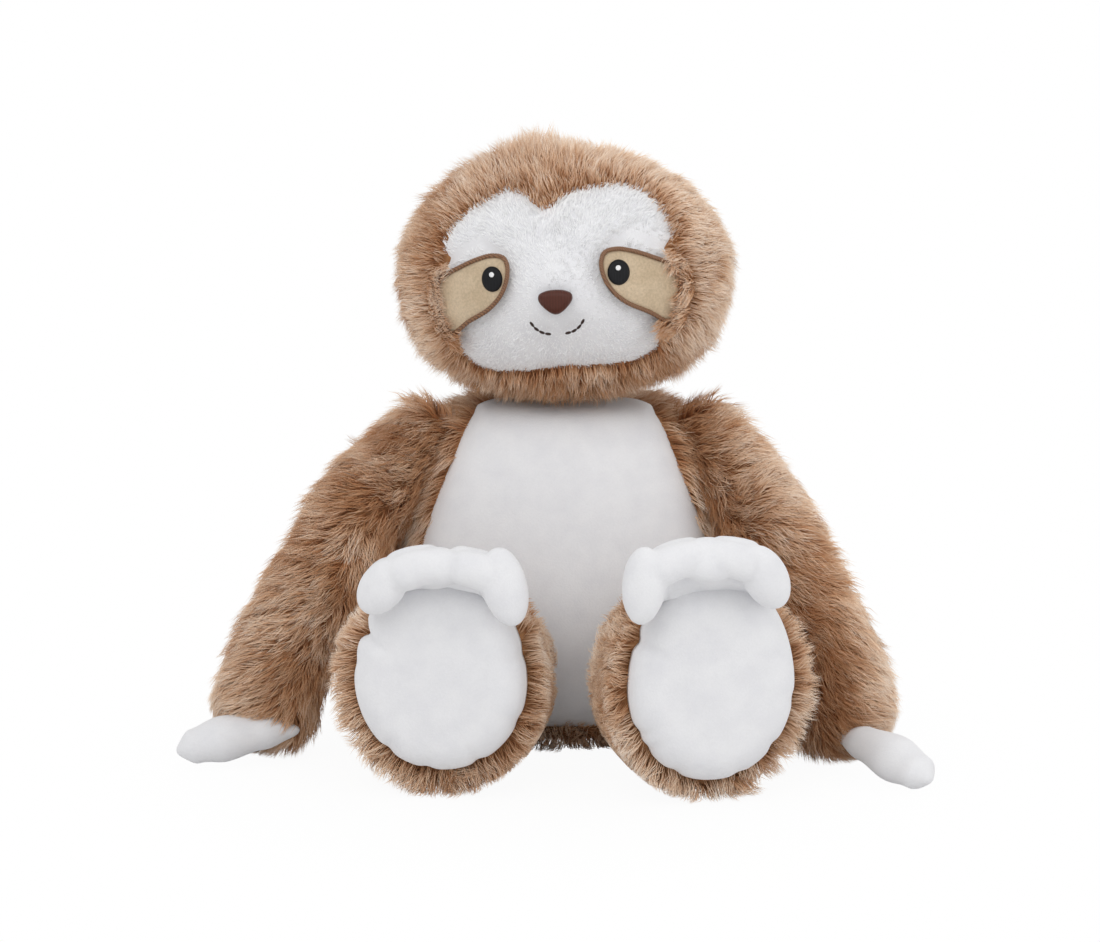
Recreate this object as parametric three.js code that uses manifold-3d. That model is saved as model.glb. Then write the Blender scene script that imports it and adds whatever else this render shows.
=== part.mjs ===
// A stuffed toy sloth, sitting with its legs forward and its arms down at its sides.
// Millimetres, +Z up. It faces -Y and sits on z = 0; "left" is the toy's own left, at +X.
// Every stuffed form is a sewn cover, cloth with its pile and lining, round loose stuffing.
import * as THREE from "three";
import { mergeVertices } from "three/addons/utils/BufferGeometryUtils.js";
import Module from "manifold-3d";

const wasm = await Module();
wasm.setup();

// Cloth, seams and room to move
const coverThickness = 10; // cloth, its lying pile and its lining
const seamGap = 0.3; // between neighbouring pieces
const jointGap = 0.3; // round a ball or a rolled seam as it turns
const flexRoom = 4.5; // beside the claws, so that they bend at their seam
const rootRoom = 1.5; // between the torso and a limb's cover where the limb is cut back from it
const rootWall = 4; // of a limb's cover there
const rootStep = 0.8; // how much thinner a limb is than the ball at its root
const floorDent = 0.5; // how deep a soft form is flattened by the floor
const overrun = 5; // how far a cutting shape runs past what it cuts

// Where the torso's middle lies, so that the toy's outline is centred on the origin
const torsoBack = 60.1;
const torsoSideways = 9.3;

// Torso
const torsoHeight = 193;
const torsoHalfWidth = 107;
const torsoHalfDepth = 86;
const torsoBackLean = 10; // how far the top lies behind the base
const pelletBagRadius = 56;
const pelletBagHeight = 24;

// Belly panel, as half widths from its top to its bottom
const bellyTopHalfWidth = 46;
const bellyMiddleHalfWidth = 80;
const bellyBottomHalfWidth = 30;
const bellyMiddleHeight = 92;
const bellyBottomHeight = 17;

// Neck, a ball between the torso and the head
const neckRadius = 30;
const neckPivotHeight = 204;
const neckPivotBack = 6;

// Head
const headHalfWidth = 94;
const headHalfDepth = 76;
const headHalfHeight = 70;
const headCentreHeight = 263;
const headCentreForward = 14;
const headRoundness = 2.35; // 2 is an ellipsoid, more is boxier
const headTurn = 4; // degrees, to the toy's right
const headTilt = 3.6; // degrees, its left side up
const headLift = 5; // degrees, its chin up
const muzzleBulge = 9;
const muzzleHalfWidth = 30;
const muzzleHalfHeight = 24;
const muzzleDrop = 14;

// Face panel and the features on it, from the middle of the head
const faceHalfWidth = 66;
const faceHalfHeight = 51;
const eyePatchInner = 25;
const eyePatchOuter = 61;
const eyePatchTop = 15;
const eyePatchBottom = 26;
const eyePatchDrop = 4;
const eyePatchDepth = 2.5;
const eyeBorderWidth = 2;
const eyeBorderRise = 0.6;
const pupilSpacing = 67.6;
const pupilRaise = -1.5;
const pupilHalfWidth = 5.8;
const pupilHalfHeight = 6.8;
const pupilRise = 1;
const glintRadius = 1.5;
const glintRaise = 2.6;
const glintRise = 0.5;
const noseHalfWidth = 9.2;
const noseHeight = 12.8;
const noseTopDrop = 9;
const noseRise = 1.2;
const stitchDepth = 1.6;
const smileInner = 4.2;
const smileOuter = 14;
const smileInnerDrop = 32;
const smileOuterDrop = 25;
const smileThread = 1.5;

// Arms
const shoulderSpacing = 152;
const shoulderHeight = 164;
const shoulderRadius = 28;
const elbowRadius = 32;
const handRadius = 32;
const armholeRadius = 9;
const armReach = 110; // from the shoulder out to the hand
const armForwardTurns = { left: 47, right: 37 }; // degrees, each arm's own rest pose

// Legs
const hipSpacing = 104;
const hipForward = 63;
const hipHeight = 42;
const hipRadius = 38;
const hipTwist = 6; // degrees, the left hip forward
const legHoleRadius = 16;
const legLength = 106; // from the hip to the sole
const legSplays = { left: 13, right: 8 }; // degrees
const legLift = 18; // degrees, how far a leg swings up
const footHalfWidth = 59;
const footHalfHeight = 59.5;
const footDepth = 46; // how much of the leg's length the foot takes
const footEdge = 17; // how far back the foot's front edge is rounded
const soleHalfWidth = 45;
const soleHalfHeight = 50;
const soleBulge = 6;
const soleRaise = 5; // above the middle of the foot

// Claws, all stuffed fingers: three to a foot and one to a hand, each set on a rolled seam
const toeRadius = 13;
const toePitch = 26;
const toeLength = 36;
const toeSpread = 3;
const toeRises = { left: 23, right: 16 };
const toeArchShare = 0.7; // of the rise, half way along a toe
const toeDroop = 10;
const toeOuterSwell = 4; // how much taller the outer toes end
const toeTurnIns = { left: 13, right: 11 }; // how far the toes' tips lie towards the toy's middle
const toeSeamRadius = 8;
const toeSeamSetback = 8; // behind the sole's edge
const toeSeamDrop = 1; // below the top of the foot
const handClawRadius = 13.5;
const handClawLength = 58;
const handSeamRadius = 7;
const handSeamHalfLength = 10;
const handSeamSetOut = 25; // from the middle of the hand
const handSeamTurns = { left: 82, right: 112 }; // degrees forward of the toy's side
const handClawTurns = { left: 52, right: 9 }; // degrees forward of the toy's side

// Outlines, as shares of the sizes that they follow
const torsoOutlineShares = [ // of its half width and its height
  [0.45, 0.002], [0.7, 0.016], [0.86, 0.06], [0.955, 0.14], [1, 0.27], [0.995, 0.4], [0.965, 0.53],
  [0.92, 0.65], [0.86, 0.77], [0.78, 0.87], [0.63, 0.955], [0.4, 0.99],
];
const faceOutlineShares = [ // of its half width and half height, down one side
  [0, 0.7], [0.18, 0.85], [0.45, 0.92], [0.73, 0.8], [0.91, 0.5], [1, 0.1],
  [1, -0.3], [0.92, -0.64], [0.73, -0.88], [0.4, -0.97], [0, -0.92],
];
const eyePatchShares = [ // from its inner to its outer end, and of its top and bottom
  [0, 0.58], [0.05, 0.9], [0.2, 1], [0.41, 0.9], [0.66, 0.68], [0.93, 0.34], [1, 0], [0.98, -0.28],
  [0.9, -0.72], [0.78, -1], [0.54, -0.76], [0.28, -0.52], [0.12, -0.26], [0.02, 0.1],
];
const noseOutlineShares = [ // of its half width, and of its height from its top
  [0, 0], [0.62, 0.01], [1, 0.26], [0.66, 0.66], [0, 1],
];
const bellyUpperShares = [0.5, 0.56]; // of the way from its top to its middle, in width and height
const bellyLowerShares = [0.64, 0.28]; // of the way from its bottom to its middle
const armLineShares = [ // of the reach and the drop, from the shoulder to the hand
  [0, 0], [0.34, 0.17], [0.6, 0.44], [0.83, 0.71], [1, 1],
];
const legLineShares = [ // of the ankle's length, and of the foot's height above the hip
  [0, 0], [0.5, 0.1], [1, 0.6],
];

// Fineness of the curved faces
const torsoSides = 22;
const headSides = 22;
const headRings = 11;
const armSides = 12;
const legSides = 16;
const limbRings = 5;
const capRings = 3;
const clawSides = 8;
const clawRings = 3;
const ballSides = 14;
const roomSides = 16; // of the room for a ball
const seamSides = 8;
const pupilSides = 12;
const soleSides = 18;
const outlineSteps = 2; // to each point of an outline
const smileSteps = 4;

const sides = { left: 1, right: -1 };
const zAxis = new THREE.Vector3(0, 0, 1);
const radians = THREE.MathUtils.degToRad;
const lerp = THREE.MathUtils.lerp;
const at = (x, y, z) => new THREE.Vector3(x, y, z);

// Solids and how they are cut

// A geometry as closed triangles that share their corners, bent by place() where that is given.
function solidOf(geometry, place) {
  const source = geometry.clone();
  for (const name of Object.keys(source.attributes)) {
    if (name !== "position") source.deleteAttribute(name);
  }
  const merged = mergeVertices(source, 1e-4);
  const positions = merged.attributes.position;
  if (place) {
    const point = new THREE.Vector3();
    for (let i = 0; i < positions.count; i++) {
      point.fromBufferAttribute(positions, i);
      place(point);
      positions.setXYZ(i, point.x, point.y, point.z);
    }
  }
  const corners = merged.index.array;
  const kept = [];
  for (let i = 0; i < corners.length; i += 3) {
    const [a, b, c] = [corners[i], corners[i + 1], corners[i + 2]];
    if (a !== b && b !== c && c !== a) kept.push(a, b, c);
  }
  return new wasm.Manifold(new wasm.Mesh({
    numProp: 3,
    vertProperties: positions.array,
    triVerts: new Uint32Array(kept),
  }));
}

function geometryOf(solid) {
  const { vertProperties, triVerts } = solid.getMesh();
  const geometry = new THREE.BufferGeometry();
  geometry.setAttribute("position", new THREE.BufferAttribute(vertProperties, 3));
  geometry.setIndex(new THREE.BufferAttribute(triVerts, 1));
  geometry.computeVertexNormals();
  return geometry;
}

function without(solid, ...cutters) {
  return cutters.reduce((rest, cutter) => rest.subtract(cutter), solid);
}

function moved(solid, by) {
  return solid.translate([by.x, by.y, by.z]);
}

function ball(radius, centre, around = ballSides) {
  return moved(solidOf(new THREE.SphereGeometry(radius, around, around / 2)), centre);
}

// Room for a ball that turns any way, with the gap at the flats of its faces too.
function ballRoom(radius, centre) {
  return ball((radius + jointGap) / Math.cos(Math.PI / roomSides) ** 2, centre, roomSides);
}

function bar(radius, from, to, barSides = ballSides) {
  const along = to.clone().sub(from);
  const geometry = new THREE.CylinderGeometry(radius, radius, along.length(), barSides);
  const turn = new THREE.Quaternion().setFromUnitVectors(at(0, 1, 0), along.clone().normalize());
  geometry.applyQuaternion(turn);
  return moved(solidOf(geometry), from.clone().addScaledVector(along, 1 / 2));
}

// Everything under the floor, for a form whose own origin is this high above it.
function underFloor(ownHeight) {
  const side = 8 * torsoHeight;
  return moved(solidOf(new THREE.BoxGeometry(side, side, side)), at(0, 0, -side / 2 - ownHeight));
}

// A loop in X and Z, as a prism from y = front to y = back.
function prism(loop, front, back) {
  const geometry = new THREE.ExtrudeGeometry(new THREE.Shape(loop), {
    depth: back - front,
    bevelEnabled: false,
  });
  geometry.rotateX(Math.PI / 2);
  return moved(solidOf(geometry), at(0, back, 0));
}

// Loops run anticlockwise, so that grown() moves them outward.
function anticlockwise(loop) {
  return THREE.ShapeUtils.area(loop) < 0 ? [...loop].reverse() : loop;
}

function smoothLoop(points) {
  const curve = new THREE.CatmullRomCurve3(points.map(([x, z]) => at(x, z, 0)), true, "centripetal");
  const dots = curve.getPoints(points.length * outlineSteps).slice(0, -1);
  return anticlockwise(dots.map((p) => new THREE.Vector2(p.x, p.y)));
}

function oval(halfWidth, halfHeight, centreX, centreZ, corners) {
  return new THREE.EllipseCurve(centreX, centreZ, halfWidth, halfHeight).getPoints(corners).slice(0, -1);
}

// The points of a loop or an open line, each moved by grow to the right of the way that it runs.
function grown(line, grow, closed = true) {
  const last = line.length - 1;
  return line.map((p, i) => {
    const before = closed ? line[(i + last) % line.length] : line[Math.max(i - 1, 0)];
    const after = closed ? line[(i + 1) % line.length] : line[Math.min(i + 1, last)];
    const along = after.clone().sub(before).normalize();
    return new THREE.Vector2(p.x + along.y * grow, p.y - along.x * grow);
  });
}

// Half an outline that starts and ends on the middle line, with its mirror image added.
function wholeOutline(half) {
  return [...half, ...half.slice(1, -1).reverse().map(([x, z]) => [-x, z])];
}

// Stuffed forms: each is asked for with an inset, so that a cover and its stuffing share one shape

function torsoForm(inset) {
  const width = torsoHalfWidth - inset;
  const height = torsoHeight + floorDent - 2 * inset;
  const base = inset - floorDent;
  const outline = torsoOutlineShares.map(([w, h]) => new THREE.Vector2(w * width, base + h * height));
  outline.unshift(new THREE.Vector2(0, base));
  outline.push(new THREE.Vector2(0, base + height));
  const geometry = new THREE.LatheGeometry(outline, torsoSides).rotateX(Math.PI / 2);
  return solidOf(geometry, (p) => {
    p.y *= (torsoHalfDepth - inset) / width;
    p.y += torsoBackLean * (p.z / torsoHeight) ** 2;
  });
}

function headForm(inset) {
  const fuller = (v) => Math.sign(v) * Math.abs(v) ** (2 / headRoundness);
  const geometry = new THREE.SphereGeometry(1, headSides, headRings).rotateX(Math.PI / 2);
  return solidOf(geometry, (p) => {
    const across = Math.hypot(p.x, p.y);
    const stretch = across > 0 ? fuller(across) / across : 0;
    p.set(p.x * stretch, p.y * stretch, fuller(p.z));
    p.x *= headHalfWidth - inset;
    p.y *= headHalfDepth - inset;
    p.z *= headHalfHeight - inset;
    const away = (p.x / muzzleHalfWidth) ** 2 + ((p.z + muzzleDrop) / muzzleHalfHeight) ** 2;
    const frontness = Math.max(0, -p.y / headHalfDepth);
    p.y -= muzzleBulge * frontness * Math.exp(-away);
  });
}

// A stuffed tube along a line. Each of its girths is a half width, along the direction across, and a half
// height at a share of the line, and its ends are rounded over the lengths startCap and endCap.
function stuffedTube(line, across, girths, startCap, endCap, inset, tubeSides, tubeRings) {
  const length = line.getLength() - 2 * inset;
  const caps = { start: startCap - inset, end: endCap - inset };
  const capDepth = (ring, cap) => cap * (1 - Math.cos((ring / capRings) * (Math.PI / 2)));
  const stations = [];
  for (let ring = 0; ring <= capRings; ring++) stations.push(capDepth(ring, caps.start));
  for (let ring = 1; ring < tubeRings; ring++) {
    stations.push(lerp(caps.start, length - caps.end, ring / tubeRings));
  }
  for (let ring = capRings; ring >= 0; ring--) stations.push(length - capDepth(ring, caps.end));

  const roundness = (distance, cap) => {
    const t = THREE.MathUtils.clamp(distance / cap, 0, 1);
    return Math.sqrt(1 - (1 - t) ** 2);
  };
  const girthAt = (share) => {
    const next = THREE.MathUtils.clamp(girths.findIndex((g) => g.share >= share), 1, girths.length - 1);
    const [a, b] = [girths[next - 1], girths[next]];
    const t = THREE.MathUtils.smoothstep(share, a.share, b.share);
    return [lerp(a.wide, b.wide, t) - inset, lerp(a.tall, b.tall, t) - inset];
  };
  const last = stations.length - 1;
  const profile = stations.map((_, i) => new THREE.Vector2(i === 0 || i === last ? 0 : 1, i));
  return solidOf(new THREE.LatheGeometry(profile, tubeSides), (p) => {
    const distance = stations[Math.round(p.y)];
    const share = THREE.MathUtils.clamp((distance + inset) / (length + 2 * inset), 0, 1);
    const round = roundness(distance, caps.start) * roundness(length - distance, caps.end);
    const [wide, tall] = girthAt(share);
    const up = new THREE.Vector3().crossVectors(across, line.getTangentAt(share)).normalize();
    const [x, z] = [p.x * round * wide, p.z * round * tall];
    p.copy(line.getPointAt(share)).addScaledVector(across, x).addScaledVector(up, z);
  });
}

// Materials, with the colour of each cloth or thread
const clothColours = {
  fur: 0xb08a68,
  whitePlush: 0xf1f1f2,
  beigePlush: 0xcdb492,
  brownThread: 0x6b4531,
  noseThread: 0x47241f,
  blackThread: 0x17181a,
  whiteThread: 0xfafafa,
  stuffing: 0xe9e7e2,
  calico: 0xd8cfbd,
};
const cloths = {};
for (const [name, color] of Object.entries(clothColours)) {
  cloths[name] = new THREE.MeshStandardMaterial({ color, roughness: 0.95, metalness: 0 });
}

function piece(name, solid, cloth) {
  const mesh = new THREE.Mesh(geometryOf(solid), cloths[cloth]);
  mesh.name = name;
  return mesh;
}

// Places that more than one form shares, from the middle of the torso
const neckPivot = at(0, neckPivotBack, neckPivotHeight);
const shoulderAt = (side) => at((side * shoulderSpacing) / 2, 0, shoulderHeight);
const hipAt = (side) => {
  const hip = at((side * hipSpacing) / 2, 0, 0).applyAxisAngle(zAxis, radians(-hipTwist));
  return hip.add(at(0, -hipForward, hipHeight));
};

const toy = new THREE.Group();
toy.name = "plush_sloth";
toy.position.set(torsoSideways, torsoBack, 0);

// The torso, with room round it, as it lies to a limb whose root is at this place and turned about Z.
// The room for a limb's lining and stuffing leaves a thinner wall there than elsewhere.
function torsoSeenFrom(root, turn, inset) {
  const wall = inset > 0 ? rootWall + inset - coverThickness : 0;
  return moved(torsoForm(-rootRoom - wall), root.clone().negate()).rotate([0, 0, -turn]);
}

// A limb's tube, cut back from the torso wherever it swings, with the ball at its root
function rooted(tube, ballRadius, torsos) {
  return without(tube, ...torsos).add(ball(ballRadius, at(0, 0, 0)));
}

// Legs: each runs forward from a ball-shaped hip to a broad upright foot

const footRaise = footHalfHeight - hipHeight - floorDent;
const soleHeight = footRaise + soleRaise;

function legForm(inset) {
  const ankle = legLength - footDepth;
  const line = new THREE.CatmullRomCurve3([
    ...legLineShares.map(([along, up]) => at(0, -along * ankle, up * footRaise)),
    at(0, footDepth / 2 - legLength, footRaise),
    at(0, -legLength, footRaise),
  ]);
  const root = hipRadius - rootStep;
  const girths = [
    { share: 0, wide: root, tall: root },
    { share: ankle / 2 / legLength, wide: root, tall: root },
    { share: (ankle + footDepth / 3) / legLength, wide: footHalfWidth, tall: footHalfHeight },
    { share: 1, wide: footHalfWidth, tall: footHalfHeight },
  ];
  return stuffedTube(line, at(-1, 0, 0), girths, hipRadius / 2, footEdge, inset, legSides, limbRings);
}

// The sole swells out of the foot's flat front.
function soleDome(inset) {
  const reach = soleBulge + coverThickness - inset;
  const dome = solidOf(new THREE.SphereGeometry(1, soleSides, soleSides / 4), (p) => {
    p.set(p.x * (soleHalfWidth - inset), p.y * reach, p.z * (soleHalfHeight - inset));
  });
  return moved(dome, at(0, coverThickness - legLength, soleHeight));
}

// The rolled seam that a claw turns on, along X, or with room round it the groove that it turns in.
function clawSeam(radius, halfLength, room) {
  const outer = room > 0 ? (radius + room) / Math.cos(Math.PI / seamSides) : radius;
  return bar(outer, at(-halfLength - room, 0, 0), at(halfLength + room, 0, 0), seamSides);
}

// One stuffed toe, its place counted from the middle one. It points along -Y from the strip's seam.
function toe(place, name, side) {
  const droop = toeDroop * Math.abs(place);
  const thickness = (toeRadius + toeSeamRadius) / 2;
  const turnIn = -side * toeTurnIns[name];
  const rise = toeRises[name];
  const line = new THREE.CatmullRomCurve3([
    at(place * toePitch, toeSeamRadius, 0),
    at(place * (toePitch + toeSpread / 2) + turnIn / 2, -toeLength / 2, rise * toeArchShare - droop / 3),
    at(place * (toePitch + toeSpread) + turnIn, -toeLength, rise - droop),
  ]);
  const girths = [
    { share: 0, wide: toeRadius, tall: toeSeamRadius },
    { share: 1 / 2, wide: toeRadius + toeSpread / 2, tall: thickness },
    { share: 1, wide: toeRadius, tall: thickness + toeOuterSwell * Math.abs(place) },
  ];
  return stuffedTube(line, at(-1, 0, 0), girths, toeSeamRadius, toeRadius, 0, clawSides, clawRings);
}

function makeLeg(name, side) {
  const leg = new THREE.Group();
  leg.position.copy(hipAt(side));
  const turn = side * legSplays[name];
  leg.rotation.z = radians(turn);
  const legBeside = (inset) => {
    const torso = torsoSeenFrom(hipAt(side), turn, inset);
    return rooted(legForm(inset), hipRadius - inset, [torso, torso.rotate([legLift, 0, 0])]);
  };

  const seamPlace = at(0, toeSeamSetback - legLength, footRaise + footHalfHeight - toeSeamDrop);
  const groove = moved(clawSeam(toeSeamRadius, toePitch, jointGap), seamPlace);
  const soleWindow = (grow) => prism(
    oval(soleHalfWidth + grow, soleHalfHeight + grow, 0, soleHeight, soleSides),
    -legLength - soleBulge - overrun,
    2 * coverThickness - legLength,
  );
  const opening = bar(legHoleRadius, at(0, 0, 0), at(0, hipRadius + overrun, 0));
  const outside = legBeside(0).add(soleDome(0));
  const skin = without(outside, underFloor(hipHeight), legBeside(coverThickness), groove);
  leg.add(
    piece("leg_fur_cover_" + name, without(skin, soleWindow(seamGap), opening), "fur"),
    piece("sole_" + name, skin.intersect(soleWindow(0)), "whitePlush"),
    piece("leg_stuffing_" + name, without(legBeside(coverThickness + seamGap), groove), "stuffing"),
  );

  const foot = moved(legForm(-flexRoom).add(soleDome(-flexRoom)), seamPlace.clone().negate());
  const fingers = without(toe(-1, name, side).add(toe(0, name, side)).add(toe(1, name, side)), foot);
  const strip = fingers.add(clawSeam(toeSeamRadius, toePitch, 0));
  const toes = new THREE.Group();
  toes.position.copy(seamPlace);
  toes.add(piece("toe_claws_" + name, strip, "whitePlush"));
  leg.add(toes);
  toy.add(leg);
}

// Arms: each hangs from a ball-shaped shoulder, out and down to a hand that rests on the floor

function armForm(side, inset) {
  const drop = shoulderHeight - handRadius + floorDent;
  const points = armLineShares.map(([out, down]) => at(side * out * armReach, 0, -down * drop));
  const line = new THREE.CatmullRomCurve3([...points, at(side * armReach, 0, -drop - handRadius)]);
  const length = line.getLength();
  const root = shoulderRadius - rootStep;
  const girths = [
    { share: 0, wide: root, tall: root },
    { share: shoulderRadius / length, wide: root, tall: root },
    { share: 1 - (3 * handRadius) / length, wide: elbowRadius, tall: elbowRadius },
    { share: 1 - (1.4 * handRadius) / length, wide: handRadius, tall: handRadius },
    { share: 1, wide: handRadius, tall: handRadius },
  ];
  const across = at(0, -side, 0);
  return stuffedTube(line, across, girths, shoulderRadius / 2, handRadius, inset, armSides, limbRings);
}

// The hand's one stuffed finger. It points along -Y from its seam.
function handFinger() {
  const line = new THREE.CatmullRomCurve3([
    at(0, handSeamRadius, 0),
    at(0, -handClawLength / 3, 0),
    at(0, -handClawLength, -handSeamRadius / 2),
  ]);
  const girths = [
    { share: 0, wide: handSeamHalfLength, tall: handSeamHalfLength },
    { share: 1 / 2, wide: handClawRadius, tall: handClawRadius },
    { share: 1, wide: handSeamHalfLength, tall: handSeamHalfLength },
  ];
  return stuffedTube(line, at(-1, 0, 0), girths, handSeamRadius, handClawRadius, 0, clawSides, clawRings);
}

function makeArm(name, side) {
  const arm = new THREE.Group();
  arm.position.copy(shoulderAt(side));
  const turn = -side * armForwardTurns[name];
  arm.rotation.z = radians(turn);

  // The hand's turns are given in the toy's frame, so the arm's own turn comes off them
  const seamWay = at(side, 0, 0).applyAxisAngle(zAxis, radians(-side * handSeamTurns[name] - turn));
  const pointing = side * (90 - handClawTurns[name]) - turn;
  const lyingHeight = handClawRadius - floorDent;
  const seamPlace = at(side * armReach, 0, lyingHeight - shoulderHeight);
  seamPlace.addScaledVector(seamWay, handSeamSetOut);
  const seam = clawSeam(handSeamRadius, handSeamHalfLength, jointGap);
  const groove = moved(seam.rotate([0, 0, pointing]), seamPlace);
  const opening = bar(armholeRadius, at(0, 0, 0), at(-side * (shoulderRadius + overrun), 0, 0));
  const armBeside = (inset) => {
    const torso = torsoSeenFrom(shoulderAt(side), turn, inset);
    return rooted(armForm(side, inset), shoulderRadius - inset, [torso]);
  };
  const skin = without(armBeside(0), underFloor(shoulderHeight), armBeside(coverThickness));
  arm.add(
    piece("arm_fur_cover_" + name, without(skin, opening, groove), "fur"),
    piece("arm_stuffing_" + name, without(armBeside(coverThickness + seamGap), groove), "stuffing"),
  );

  const hand = moved(armForm(side, -flexRoom), seamPlace.clone().negate()).rotate([0, 0, -pointing]);
  const finger = without(handFinger(), hand).add(clawSeam(handSeamRadius, handSeamHalfLength, 0));
  const claw = without(finger, underFloor(lyingHeight));
  const claws = new THREE.Group();
  claws.position.copy(seamPlace);
  claws.rotation.z = radians(pointing);
  claws.add(piece("hand_claw_" + name, claw, "whitePlush"));
  arm.add(claws);
  toy.add(arm);
}

// Torso: fur cover, belly panel, stuffing, and a bag of pellets that weights the seat

function bellyLoop() {
  const above = torsoHeight + overrun;
  return smoothLoop(wholeOutline([
    [0, above],
    [bellyTopHalfWidth, above],
    [
      lerp(bellyTopHalfWidth, bellyMiddleHalfWidth, bellyUpperShares[0]),
      lerp(torsoHeight, bellyMiddleHeight, bellyUpperShares[1]),
    ],
    [bellyMiddleHalfWidth, bellyMiddleHeight],
    [
      lerp(bellyBottomHalfWidth, bellyMiddleHalfWidth, bellyLowerShares[0]),
      lerp(bellyBottomHeight, bellyMiddleHeight, bellyLowerShares[1]),
    ],
    [bellyBottomHalfWidth, bellyBottomHeight],
    [0, bellyBottomHeight],
  ]));
}

function makeTorso() {
  const holes = [ballRoom(neckRadius, neckPivot)];
  for (const side of Object.values(sides)) {
    holes.push(ballRoom(shoulderRadius, shoulderAt(side)), ballRoom(hipRadius, hipAt(side)));
  }
  const front = -torsoHalfDepth - overrun;
  const loop = bellyLoop();
  const skin = without(torsoForm(0), underFloor(0), torsoForm(coverThickness), ...holes);
  const inside = without(torsoForm(coverThickness + seamGap), ...holes);
  const bagTop = coverThickness + pelletBagHeight;
  const bagRoom = (grow) => bar(pelletBagRadius + grow, at(0, 0, -overrun), at(0, 0, bagTop + grow));
  toy.add(
    piece("torso_fur_cover", without(skin, prism(grown(loop, seamGap), front, seamGap)), "fur"),
    piece("belly_panel", skin.intersect(prism(loop, front, 0)), "whitePlush"),
    piece("torso_stuffing", without(inside, bagRoom(seamGap)), "stuffing"),
    piece("seat_pellet_bag", inside.intersect(bagRoom(0)), "calico"),
    piece("neck_stuffing", ball(neckRadius, neckPivot), "stuffing"),
  );
}

// Head: built about its own middle, then turned, tilted and lifted

function makeHead() {
  const head = new THREE.Group();
  head.position.set(0, -headCentreForward, headCentreHeight);
  head.rotation.set(radians(-headLift), radians(-headTilt), radians(-headTurn), "ZYX");
  head.updateMatrix();
  const neck = neckPivot.clone().applyMatrix4(head.matrix.clone().invert());
  const socket = ballRoom(neckRadius, neck);
  const front = -headHalfDepth - muzzleBulge - overrun;

  const forms = new Map();
  const form = (inset) => {
    if (!forms.has(inset)) forms.set(inset, headForm(inset));
    return forms.get(inset);
  };
  // What a loop cuts out of the layer from rise above the surface to depth below it
  const inlay = (loop, rise, depth) => without(form(-rise).intersect(prism(loop, front, 0)), form(depth));

  const face = smoothLoop(wholeOutline(
    faceOutlineShares.map(([x, z]) => [x * faceHalfWidth, z * faceHalfHeight]),
  ));
  const nose = smoothLoop(wholeOutline(
    noseOutlineShares.map(([x, z]) => [x * noseHalfWidth, -noseTopDrop - z * noseHeight]),
  ));
  const pockets = [inlay(grown(nose, seamGap), overrun, stitchDepth + seamGap)];
  for (const [name, side] of Object.entries(sides)) {
    const patch = smoothLoop(eyePatchShares.map(([x, z]) => [
      side * lerp(eyePatchInner, eyePatchOuter, x),
      z * (z > 0 ? eyePatchTop : eyePatchBottom) - eyePatchDrop,
    ]));
    const pupilX = (side * pupilSpacing) / 2;
    const glintZ = pupilRaise + glintRaise;
    const eyeOval = (halfWidth, halfHeight, z) => oval(halfWidth, halfHeight, pupilX, z, pupilSides);
    const pupil = (grow) => eyeOval(pupilHalfWidth + grow, pupilHalfHeight + grow, pupilRaise);
    const glint = (grow) => eyeOval(glintRadius + grow, glintRadius + grow, glintZ);
    const smileLine = new THREE.QuadraticBezierCurve(
      new THREE.Vector2(side * smileInner, -smileInnerDrop),
      new THREE.Vector2(side * smileOuter, -smileInnerDrop),
      new THREE.Vector2(side * smileOuter, -smileOuterDrop),
    ).getPoints(smileSteps);
    const smile = (halfWidth) => anticlockwise([
      ...grown(smileLine, halfWidth, false),
      ...grown(smileLine, -halfWidth, false).reverse(),
    ]);
    const border = inlay(grown(patch, eyeBorderWidth), eyeBorderRise, eyePatchDepth);
    const patchRoom = inlay(grown(patch, seamGap), overrun, eyePatchDepth + seamGap);
    const pupilRoom = inlay(pupil(seamGap), overrun, stitchDepth + seamGap);
    const glintDepth = seamGap - pupilRise;
    const glintRoom = inlay(glint(seamGap), overrun, glintDepth);
    const shine = inlay(glint(0), pupilRise + glintRise, glintDepth - seamGap);
    head.add(
      piece("eye_border_" + name, without(border, patchRoom), "brownThread"),
      piece("eye_patch_" + name, without(inlay(patch, 0, eyePatchDepth), pupilRoom), "beigePlush"),
      piece("pupil_" + name, without(inlay(pupil(0), pupilRise, stitchDepth), glintRoom), "blackThread"),
      piece("eye_glint_" + name, shine, "whiteThread"),
      piece("smile_" + name, inlay(smile(smileThread / 2), eyeBorderRise, stitchDepth), "brownThread"),
    );
    pockets.push(
      inlay(grown(patch, eyeBorderWidth + seamGap), overrun, eyePatchDepth + seamGap),
      inlay(smile(smileThread / 2 + seamGap), overrun, stitchDepth + seamGap),
    );
  }
  const skin = without(form(0), form(coverThickness), socket);
  head.add(
    piece("nose", inlay(nose, noseRise, stitchDepth), "noseThread"),
    piece("face_panel", without(skin.intersect(prism(face, front, 0)), ...pockets), "whitePlush"),
    piece("head_fur_cover", without(skin, prism(grown(face, seamGap), front, seamGap)), "fur"),
    piece("head_stuffing", without(form(coverThickness + seamGap), socket), "stuffing"),
  );
  toy.add(head);
}

makeTorso();
makeHead();
for (const [name, side] of Object.entries(sides)) {
  makeArm(name, side);
  makeLeg(name, side);
}

export default toy;
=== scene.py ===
# A plush sloth, sitting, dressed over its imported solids.
# Shapes are worked out in millimetres in the torso's own frame, which has its middle at x = y = 0:
# +X is the toy's left, +Y its back, +Z up. A mesh is turned into metres in the row frame when it is made.
import math

import bpy
import numpy as np
from mathutils import Matrix, Vector
from mathutils.kdtree import KDTree


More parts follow.
